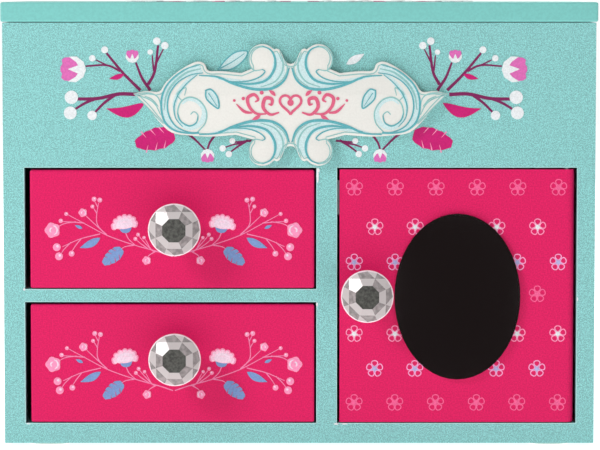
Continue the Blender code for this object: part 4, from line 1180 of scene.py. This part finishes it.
def liner(name, x, y, z, thick, body, material, corner=2.0):
    """A thin covered pad with rounded corners and a slightly uneven, soft-edged top."""
    shape = bmesh.new()
    inset_x, inset_y = (x[1] - x[0]) / 2, (y[1] - y[0]) / 2
    centre = Vector(((x[0] + x[1]) / 2, (y[0] + y[1]) / 2, 0.0))
    cells_x, cells_y = max(6, int(inset_x / 3.0)), max(6, int(inset_y / 3.0))

    def spot(i, j, lift):
        u, v = 2.0 * i / cells_x - 1.0, 2.0 * j / cells_y - 1.0
        u, v = math.sin(u * math.pi / 2) * 0.35 + u * 0.65, math.sin(v * math.pi / 2) * 0.35 + v * 0.65
        px, py = u * inset_x, v * inset_y
        over_x, over_y = abs(px) - (inset_x - corner), abs(py) - (inset_y - corner)
        if over_x > 0 and over_y > 0:
            reach = math.hypot(over_x, over_y)
            square = max(over_x, over_y)
            px = math.copysign(inset_x - corner + over_x * square / reach, px)
            py = math.copysign(inset_y - corner + over_y * square / reach, py)
        place = centre + Vector((px, py, 0.0))
        rim = min(inset_x - abs(px), inset_y - abs(py))
        soft = 1.0 - math.exp(-max(rim, 0.0) / 0.7)
        wave = 0.12 * noise.noise(place * 0.12)
        place.z = z + lift * (thick * (0.35 + 0.65 * soft) + wave * soft)
        return place * MM

    top = [[shape.verts.new(spot(i, j, 1.0)) for j in range(cells_y + 1)] for i in range(cells_x + 1)]
    low = [[shape.verts.new(spot(i, j, 0.0)) for j in range(cells_y + 1)] for i in range(cells_x + 1)]
    for i in range(cells_x):
        for j in range(cells_y):
            shape.faces.new((top[i][j], top[i + 1][j], top[i + 1][j + 1], top[i][j + 1]))
            shape.faces.new((low[i][j], low[i][j + 1], low[i + 1][j + 1], low[i + 1][j]))
    for i in range(cells_x):
        shape.faces.new((top[i][0], low[i][0], low[i + 1][0], top[i + 1][0]))
        shape.faces.new((top[i][-1], top[i + 1][-1], low[i + 1][-1], low[i][-1]))
    for j in range(cells_y):
        shape.faces.new((top[0][j], top[0][j + 1], low[0][j + 1], low[0][j]))
        shape.faces.new((top[-1][j], low[-1][j], low[-1][j + 1], top[-1][j + 1]))
    finish_mesh(name, shape, material, body, 60)


def liners():
    """Velvet pads on the floors of the tray, the drawers and the cabinet."""
    tray = mm_box("tray_floor")
    stage = mm_box("stage_cover")
    divider = mm_box("tray_divider")
    floor = tray[1].z + 0.02
    rod = mm_box("stop_rod")
    liner("tray_velvet_left", (tray[0].x + 1.0, rod[0].x - 1.0), (tray[0].y + 1.0, tray[1].y - 1.0),
          floor, 1.1, "case", VELVET)
    liner("tray_velvet_front", (rod[0].x - 0.6, divider[0].x - 0.6), (tray[0].y + 1.0, stage[0].y - 0.8),
          floor, 1.1, "case", VELVET)
    liner("tray_velvet_right", (stage[1].x + 0.8, divider[0].x - 0.6), (stage[0].y - 0.4, tray[1].y - 1.0),
          floor, 1.1, "case", VELVET)
    for drawer in ("upper_drawer", "lower_drawer"):
        bottom, back = mm_box(drawer + "_bottom"), mm_box(drawer + "_back")
        left, right = mm_box(drawer + "_left"), mm_box(drawer + "_right")
        liner(drawer + "_velvet", (left[1].x + 0.5, right[0].x - 0.5), (bottom[0].y + 0.6, back[0].y - 0.5),
              bottom[1].z + 0.02, 1.0, drawer, VELVET, 1.0)
    board, partition = mm_box("bottom_board"), mm_box("centre_partition")
    side = mm_box("right_side")
    liner("cabinet_velvet", (partition[1].x + 0.8, side[0].x - 0.8),
          (mm_box("front_panel")[1].y + 0.6, mm_box("back_panel")[0].y - 0.8), board[1].z + 0.02, 0.9,
          "case", VELVET, 1.0)


def wall_linings():
    """Flocked pink paper on the inner walls of the tray and of the cabinet."""
    front, back = mm_box("front_panel")[1].y, mm_box("back_panel")[0].y
    left, right = mm_box("left_side")[1].x, mm_box("right_side")[0].x
    tray, board = mm_box("tray_floor"), mm_box("bottom_board")
    top = mm_box("right_side")[1].z - 2.0
    partition = mm_box("centre_partition")[1].x
    tray_span, cabinet_span = (tray[1].z + 0.1, top), (board[1].z + 0.1, tray[0].z - 0.1)
    for name, origin, u_axis, out, (start, end), (low, high) in (
            ("tray_lining_back", (0, back, 0), (1, 0, 0), (0, -1, 0), (left, right), tray_span),
            ("tray_lining_front", (0, front, 0), (1, 0, 0), (0, 1, 0), (left, right), tray_span),
            ("tray_lining_left", (left, 0, 0), (0, 1, 0), (1, 0, 0), (front, back), tray_span),
            ("tray_lining_right", (right, 0, 0), (0, 1, 0), (-1, 0, 0), (front, back), tray_span),
            ("cabinet_lining_back", (0, back, 0), (1, 0, 0), (0, -1, 0), (partition, right), cabinet_span),
            ("cabinet_lining_left", (partition, 0, 0), (0, 1, 0), (1, 0, 0), (front, back), cabinet_span),
            ("cabinet_lining_right", (right, 0, 0), (0, 1, 0), (-1, 0, 0), (front, back), cabinet_span)):
        sheet = Film(origin, u_axis=u_axis, out=out)
        sheet.high = LINING_LIFT
        edges = [[(start + 0.4 + (end - start - 0.8) * t / 8, z) for t in range(9)] for z in (low, high)]
        sheet.strip(*edges)
        sheet.finish(name, LINING, "case", "inner_lining")


PUFF_LIMIT, PAD_ROLLS, PINCH_DEPTH, PINCH_WIDTH, PAD_MARGIN = 2.6, 7, 4.2, 1.5, 0.05
INFLATE_FRAMES = 20


def ring_pad():
    """The ring cushion: a velvet block blown up by a cloth simulation, then pinched into rolls."""
    low, high = mm_box("ring_cushion")
    start = NODES["ring_cushion"].data.copy()
    pad = bpy.data.objects.new("ring_pad", start)
    bpy.context.scene.collection.objects.link(pad)
    middle = (low + high) / 2
    for vert in start.vertices:
        place = vert.co / MM
        for axis, share in ((0, 0.965), (1, 0.985), (2, 0.90)):
            place[axis] = middle[axis] + (place[axis] - middle[axis]) * share
        vert.co = place * MM
    remesh = pad.modifiers.new("remesh", 'REMESH')
    remesh.mode = 'VOXEL'
    remesh.voxel_size = 4.0 * MM
    apply_modifiers(pad)
    flat = [vert.co.copy() for vert in pad.data.vertices]
    inflate(pad)
    cap = PUFF_LIMIT * MM
    for vert, rest in zip(pad.data.vertices, flat):
        move = vert.co - rest
        if move.length > cap:
            vert.co = rest + move * (cap / move.length)
    fine = pad.modifiers.new("fine", 'SUBSURF')
    fine.levels = fine.render_levels = 2
    apply_modifiers(pad)
    floor, top = low.z + 0.15, high.z
    pitch = (high.y - low.y) / PAD_ROLLS
    for vert in pad.data.vertices:
        place = vert.co / MM
        crest = (place.z - middle.z) / (top - middle.z)
        if crest > -0.2:
            across = ((place.y - low.y) / pitch) % 1.0
            off = min(across, 1.0 - across) * pitch
            end_row = place.y < low.y + pitch * 0.5 or place.y > high.y - pitch * 0.5
            pinch = 0.0 if end_row and off > pitch * 0.3 else math.exp(-(off / PINCH_WIDTH) ** 2)
            place.z -= PINCH_DEPTH * pinch * min(1.0, crest + 0.2)
        place.x = min(max(place.x, low.x + PAD_MARGIN), high.x - PAD_MARGIN)
        place.y = min(max(place.y, low.y + PAD_MARGIN), high.y - PAD_MARGIN)
        place.z = min(max(place.z, floor), top)
        vert.co = place * MM
    pad.data.shade_smooth()
    add_piece(pad, VELVET, "case")
    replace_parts(pad, "ring_cushion")


def inflate(pad):
    """Blow the pad up as cloth and keep its shape."""
    cloth = pad.modifiers.new("cloth", 'CLOTH')
    cloth.settings.use_pressure = True
    cloth.settings.uniform_pressure_force = 4.0
    cloth.settings.quality = 5
    cloth.settings.effector_weights.gravity = 0.0
    cloth.point_cache.frame_start, cloth.point_cache.frame_end = 1, INFLATE_FRAMES
    scene = bpy.context.scene
    for number in range(1, INFLATE_FRAMES + 1):
        scene.frame_set(number)
    mesh = evaluated_mesh(pad)
    for vert, moved in zip(pad.data.vertices, mesh.vertices):
        vert.co = moved.co
    pad.modifiers.clear()
    scene.frame_set(1)


def stage_trim():
    """Brass ring round the dancer's post and a braided edge on the stage."""
    low, high = mm_box("stage_cover")
    ring = bmesh.new()
    lathe(ring, [(4.9, -0.1), (8.2, -0.1), (8.4, 0.25), (8.0, 0.62), (7.2, 0.75), (6.6, 0.45),
                 (5.9, 0.55), (5.1, 0.40)], (AXIS_X, AXIS_Y, high.z), 'Z', 64)
    finish_mesh("stage_ring", ring, BRASS, "case", 40)
    braid = bmesh.new()
    inset_mm, radius = 0.8, 0.42
    corners = [(low.x + inset_mm, low.y + inset_mm), (high.x - inset_mm, low.y + inset_mm),
               (high.x - inset_mm, high.y - inset_mm), (low.x + inset_mm, high.y - inset_mm)]
    for start, end in zip(corners, corners[1:] + corners[:1]):
        start, end = Vector(start), Vector(end)
        span = (end - start).length
        steps = int(span / 1.1)
        for strand in (0.0, math.pi):
            points = []
            for step in range(steps + 1):
                spot = start.lerp(end, step / steps)
                angle = strand + step * 1.5
                out = Vector(((end - start).y, -(end - start).x)).normalized() * 0.3 * math.cos(angle)
                points.append(Vector((spot.x + out.x, spot.y + out.y,
                                      high.z + 0.30 + 0.22 * math.sin(angle))))
            tube(braid, points, [radius] * len(points), 6, 2)
    finish_mesh("stage_braid", braid, BRASS, "case", 60)


# ---------------------------------------------------------------- dancer

def doll_materials():
    skin = Shader("painted_skin", srgb(240, 200, 176), 0.38, Coat_Weight=0.3, Coat_Roughness=0.2)
    skin.vary(skin.noise(1.5), 0.04)
    hair = Shader("painted_hair", srgb(92, 56, 34), 0.4)
    hair.vary(hair.noise(0.3, 3.0), 0.25)
    hair.bump(hair.noise(0.25, 3.0), 0.05)
    satin = Shader("satin_bodice", srgb(240, 150, 180), 0.3, Sheen_Weight=0.4, Coat_Weight=0.2)
    satin.vary(satin.noise(0.4), 0.06)
    satin.bump(satin.noise(0.2), 0.02)
    tulle = Shader("soft_tulle", srgb(250, 204, 220), 0.75, Alpha=0.86, Sheen_Weight=0.5)
    tulle.vary(tulle.noise(0.25, 3.0, 0.7), 0.10)
    tulle.bump(tulle.noise(0.22, 3.0), 0.04)
    lips = Shader("painted_lips", srgb(205, 84, 96), 0.35)
    lips.vary(lips.noise(0.5), 0.05)
    return [shader.material for shader in (skin, hair, satin, tulle, lips)]


SKIN, HAIR, SATIN, TULLE, LIPS = doll_materials()


def at(x, y, height):
    """A point of the dancer: height above the toe, x and y from the turning axis."""
    return Vector((AXIS_X + x, AXIS_Y + y, FOOT_Z + height))


def doll_part(name, shape, material):
    return finish_mesh(name, shape, material, "dancer", 60)


def egg(shape, centre, size, narrow=0.0, columns=24, rows=16):
    """An egg about centre, narrower towards its foot."""
    result = bmesh.ops.create_uvsphere(shape, u_segments=columns, v_segments=rows, radius=1.0)
    for vert in result["verts"]:
        taper = 1.0 - narrow * max(0.0, -vert.co.z) ** 1.4
        vert.co = (Vector(centre) + Vector((vert.co.x * size[0] * taper, vert.co.y * size[1] * taper,
                                            vert.co.z * size[2]))) * MM


def make_doll():
    """A generic ballerina on one toe, the other foot at her knee, arms in a ring overhead."""
    limbs = bmesh.new()
    tube(limbs, [at(0, 0, 0.4), at(0, 0, 3.2), at(0.1, 0.2, 7.4), at(0.1, -0.1, 10.2),
                 at(-0.2, 0, 13.6), at(-0.7, 0, 17.4)], [0.62, 0.72, 1.15, 0.95, 1.35, 1.6], 16)
    tube(limbs, [at(0.8, 0, 17.4), at(2.9, -0.9, 14.9), at(4.9, -1.8, 12.4)], [1.55, 1.3, 1.0], 16)
    tube(limbs, [at(4.9, -1.8, 12.5), at(3.6, -1.9, 11.7), at(1.9, -1.7, 10.9), at(1.0, -1.5, 10.3)],
         [1.0, 1.0, 0.72, 0.6], 16)
    for side in (-1.0, 1.0):
        ring = arc((0.0, 30.9), 5.6, -60 if side > 0 else 240, 78 if side > 0 else 102, 8)
        points = [at(side * 1.5, 0, 25.5)] + [at(u, -0.25 * step, h) for step, (u, h) in enumerate(ring)]
        tube(limbs, points, [0.75, 0.72, 0.66, 0.62, 0.58, 0.52, 0.48, 0.44, 0.4, 0.3], 12, 4)
    lathe(limbs, [(0.0, 29.2), (0.72, 29.2), (0.68, 27.6), (0.85, 26.8), (1.9, 26.1), (2.15, 25.2),
                  (2.0, 24.4), (0.0, 24.4)], at(0, 0, 0), 'Z', 24)
    doll_part("dancer_skin", limbs, SKIN)

    bodice = bmesh.new()
    lathe(bodice, [(0.0, 25.3), (1.7, 25.3), (2.2, 24.9), (2.28, 24.0), (1.95, 22.6), (1.62, 21.2),
                   (1.85, 19.9), (2.5, 18.7), (2.75, 17.6), (2.5, 16.5), (1.4, 15.9), (0.0, 15.9)],
          at(0, 0, 0), 'Z', 32)
    doll_part("dancer_bodice", bodice, SATIN)
    straps = bmesh.new()
    for side in (-1.0, 1.0):
        tube(straps, [at(side * 1.2, -1.75, 24.9), at(side * 1.35, -1.15, 26.2), at(side * 1.3, 0, 26.75),
                      at(side * 1.3, 1.15, 26.2), at(side * 1.2, 1.75, 24.9)], [0.22] * 5, 8)
    doll_part("dancer_straps", straps, SATIN)

    head = bmesh.new()
    egg(head, at(0, -0.1, 30.6), (1.72, 1.85, 2.15), 0.22)
    egg(head, at(0, -1.93, 30.3), (0.2, 0.24, 0.34), 0.0, 12, 8)
    for side in (-1.0, 1.0):
        egg(head, at(side * 1.7, 0.1, 30.45), (0.2, 0.35, 0.5), 0.0, 12, 8)
    doll_part("dancer_head", head, SKIN)
    hair = bmesh.new()
    egg(hair, at(0, 0.35, 31.05), (1.86, 1.82, 2.02))
    egg(hair, at(0, 0.75, 33.3), (1.0, 1.0, 0.85))
    tube(hair, [at(0.95 * math.cos(a), 0.75 + 0.95 * math.sin(a), 32.85)
                for a in [math.radians(20 * k) for k in range(18)]], [0.22] * 18, 8, 2)
    doll_part("dancer_hair", hair, HAIR)
    band = bmesh.new()
    tube(band, [at(-1.8, 0.3, 31.7), at(-1.25, -1.05, 32.15), at(0, -1.55, 32.3), at(1.25, -1.05, 32.15),
                at(1.8, 0.3, 31.7)], [0.12, 0.15, 0.22, 0.15, 0.12], 8)
    doll_part("dancer_hair_band", band, BRASS)
    face = bmesh.new()
    for side in (-1.0, 1.0):
        egg(face, at(side * 0.62, -1.83, 30.72), (0.22, 0.1, 0.15), 0.0, 12, 8)
        tube(face, [at(side * 0.32, -1.80, 31.12), at(side * 0.62, -1.76, 31.22),
                    at(side * 0.92, -1.62, 31.14)], [0.035, 0.06, 0.03], 6)
    doll_part("dancer_eyes", face, HAIR)
    lips = bmesh.new()
    tube(lips, [at(-0.36, -1.72, 29.62), at(0, -1.82, 29.55), at(0.36, -1.72, 29.62)],
         [0.05, 0.13, 0.05], 8)
    doll_part("dancer_lips", lips, LIPS)

    shoes = bmesh.new()
    tube(shoes, [at(0, 0, 0.0), at(0, -0.05, 0.7), at(0, -0.1, 1.8), at(0, 0.05, 2.9)],
         [0.55, 0.75, 0.85, 0.82], 14)
    tube(shoes, [at(1.25, -1.6, 10.55), at(0.6, -1.45, 9.9), at(0.1, -1.3, 9.1)], [0.72, 0.75, 0.5], 14)
    for height, tilt in ((3.5, 0.25), (4.3, -0.25)):
        points = [at(0.86 * math.cos(a), 0.86 * math.sin(a), height + tilt * math.cos(a))
                  for a in [math.radians(30 * k) for k in range(13)]]
        tube(shoes, points, [0.12] * 13, 6, 2)
    finished = doll_part("dancer_shoes", shoes, SATIN)
    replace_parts(finished, "dancer_figure")


def tutu():
    """Three ruffled layers of tulle, each cut as a ring and gathered at the waist."""
    low, high = mm_box("dancer_skirt")
    middle = (low.z + high.z) / 2 - FOOT_Z
    for number, (reach, lift, waves, swing) in enumerate(((13.1, -0.9, 15, 0.9), (12.6, 0.1, 17, 0.8),
                                                          (11.4, 1.0, 14, 0.8))):
        shape = bmesh.new()
        rings, steps = 9, 240
        grid = []
        for ring in range(rings + 1):
            t = ring / rings
            row = []
            for step in range(steps):
                angle = 2 * math.pi * step / steps
                ruffle = math.sin(waves * angle + number * 1.3) + 0.35 * math.sin(
                    2.3 * waves * angle + 0.7 * number + 3 * t)
                radius = 2.3 + (reach - 2.3) * t + 0.15 * t * math.cos(waves * angle)
                height = middle + 0.9 + lift * t - 1.7 * t * t + swing * t * ruffle
                row.append(shape.verts.new(at(radius * math.cos(angle), radius * math.sin(angle),
                                              height) * MM))
            grid.append(row)
        for inner, outer in zip(grid, grid[1:]):
            for step in range(steps):
                after = (step + 1) % steps
                shape.faces.new((inner[step], outer[step], outer[after], inner[after]))
        area = sum(face.calc_area() for face in shape.faces)
        layer = finish_mesh("tutu_layer_%d" % (number + 1), shape, TULLE, "dancer", 80)
        solid = layer.modifiers.new("thickness", 'SOLIDIFY')
        solid.thickness = 0.10 * MM
        solid.offset = 0.0
        apply_modifiers(layer)
        # The flat size is that of a disc of the finished layer's own area, not of an independent cut
        if number == 0:
            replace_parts(layer, "dancer_skirt")


lid_top_print()
lid_lining()
side_wraps()
round_pads()
hinge_screws()
key_escutcheon()
liners()
wall_linings()
ring_pad()
stage_trim()
make_doll()
tutu()


# ---------------------------------------------------------------- stage, lights and camera

CAMERA_X, CAMERA_DISTANCE, CAMERA_HEIGHT, TARGET_HEIGHT = 0.3, 1250.0, 184.0, 90.3
SENSOR_WIDTH, VIEW_WIDTH = 36.0, 241.8
PATCH_DISTANCE, PATCH_MARGIN, PATCH_THICKNESS = 2500.0, 1.12, 5.0


def set_scene():
    scene = bpy.context.scene
    scene.view_settings.view_transform = 'Standard'
    world = bpy.data.worlds.new("studio_world")
    scene.world = world
    world.use_nodes = True
    tree = world.node_tree
    background = tree.nodes["Background"]
    background.inputs["Color"].default_value = (1.0, 1.0, 1.0, 1.0)
    seen = tree.nodes.new("ShaderNodeLightPath")
    strength = tree.nodes.new("ShaderNodeMapRange")
    strength.inputs["To Min"].default_value = 0.27
    strength.inputs["To Max"].default_value = 1.0
    tree.links.new(seen.outputs["Is Camera Ray"], strength.inputs["Value"])
    gloss = tree.nodes.new("ShaderNodeMath")
    gloss.operation = 'MULTIPLY_ADD'
    gloss.inputs[1].default_value = 0.5
    tree.links.new(seen.outputs["Is Glossy Ray"], gloss.inputs[0])
    tree.links.new(strength.outputs["Result"], gloss.inputs[2])
    tree.links.new(gloss.outputs[0], background.inputs["Strength"])

    floor_shape = bmesh.new()
    block(floor_shape, (-3000.0, -3000.0, -5.0), (3000.0, 3000.0, -0.02))
    mesh = bpy.data.meshes.new("floor")
    floor_shape.to_mesh(mesh)
    floor_shape.free()
    floor = bpy.data.objects.new("floor", mesh)
    scene.collection.objects.link(floor)
    floor.visible_glossy = False
    pale = Shader("pale_floor", (0.95, 0.95, 0.95, 1.0), 0.8)
    pale.set("Emission Color", (1.0, 1.0, 1.0, 1.0))
    pale.set("Emission Strength", 0.72)
    pale.vary(pale.noise(60.0), 0.01)
    mesh.materials.append(pale.material)

    area_light("key", (-850.0, -800.0, 740.0), 400.0, 6.5)
    area_light("fill", (900.0, -1200.0, 500.0), 900.0, 0.3)
    area_light("overhead", (0.0, 250.0, 1700.0), 1600.0, 14.0)
    area_light("back", (500.0, 1400.0, 700.0), 900.0, 5.0)
    dark_card()


def area_light(name, spot, size, power):
    lamp = bpy.data.lights.new(name, 'AREA')
    lamp.shape = 'DISK'
    lamp.size = size * MM
    lamp.energy = power
    holder = bpy.data.objects.new(name, lamp)
    holder.location = Vector(spot) * MM
    aim = Vector((0.0, 0.0, 90.0)) * MM - holder.location
    holder.rotation_euler = aim.to_track_quat('-Z', 'Y').to_euler()
    bpy.context.scene.collection.objects.link(holder)
    return holder


def dark_card():
    """An unlit patch of the room, far in front, which only the door's mirror shows from the front."""
    low, high = mm_box("door_mirror")
    shape = bmesh.new()
    share = 1.0 + PATCH_DISTANCE / CAMERA_DISTANCE
    middle_x = CAMERA_X + ((low.x + high.x) / 2 - CAMERA_X) * share
    middle_z = CAMERA_HEIGHT + ((low.z + high.z) / 2 - CAMERA_HEIGHT) * share
    half_x = (high.x - low.x) / 2 * share * PATCH_MARGIN
    half_z = (high.z - low.z) / 2 * share * PATCH_MARGIN
    near = FRONT_FACE - PATCH_DISTANCE
    block(shape, (middle_x - half_x, near - PATCH_THICKNESS, middle_z - half_z),
          (middle_x + half_x, near, middle_z + half_z))
    mesh = bpy.data.meshes.new("dark_room")
    shape.to_mesh(mesh)
    shape.free()
    card = bpy.data.objects.new("dark_room", mesh)
    bpy.context.scene.collection.objects.link(card)
    dark = Shader("dark_room", (0.0, 0.0, 0.0, 1.0), 1.0, Specular_IOR_Level=0.0)
    dark.set("Emission Color", (0.012, 0.0085, 0.0085, 1.0))
    dark.set("Emission Strength", 1.0)
    mesh.materials.append(dark.material)
    for ray in ("camera", "diffuse", "transmission", "volume_scatter", "shadow"):
        setattr(card, "visible_" + ray, False)


def set_camera():
    data = bpy.data.cameras.new("camera")
    data.sensor_width = SENSOR_WIDTH
    data.lens = SENSOR_WIDTH * CAMERA_DISTANCE / VIEW_WIDTH
    data.clip_start = 0.05
    data.clip_end = 20.0
    camera = bpy.data.objects.new("camera", data)
    camera.location = Vector((CAMERA_X, FRONT_FACE - CAMERA_DISTANCE, CAMERA_HEIGHT)) * MM
    aim = Vector((CAMERA_X, FRONT_FACE, TARGET_HEIGHT)) * MM - camera.location
    camera.rotation_euler = aim.to_track_quat('-Z', 'Y').to_euler()
    bpy.context.scene.collection.objects.link(camera)
    bpy.context.scene.camera = camera


set_scene()
set_camera()
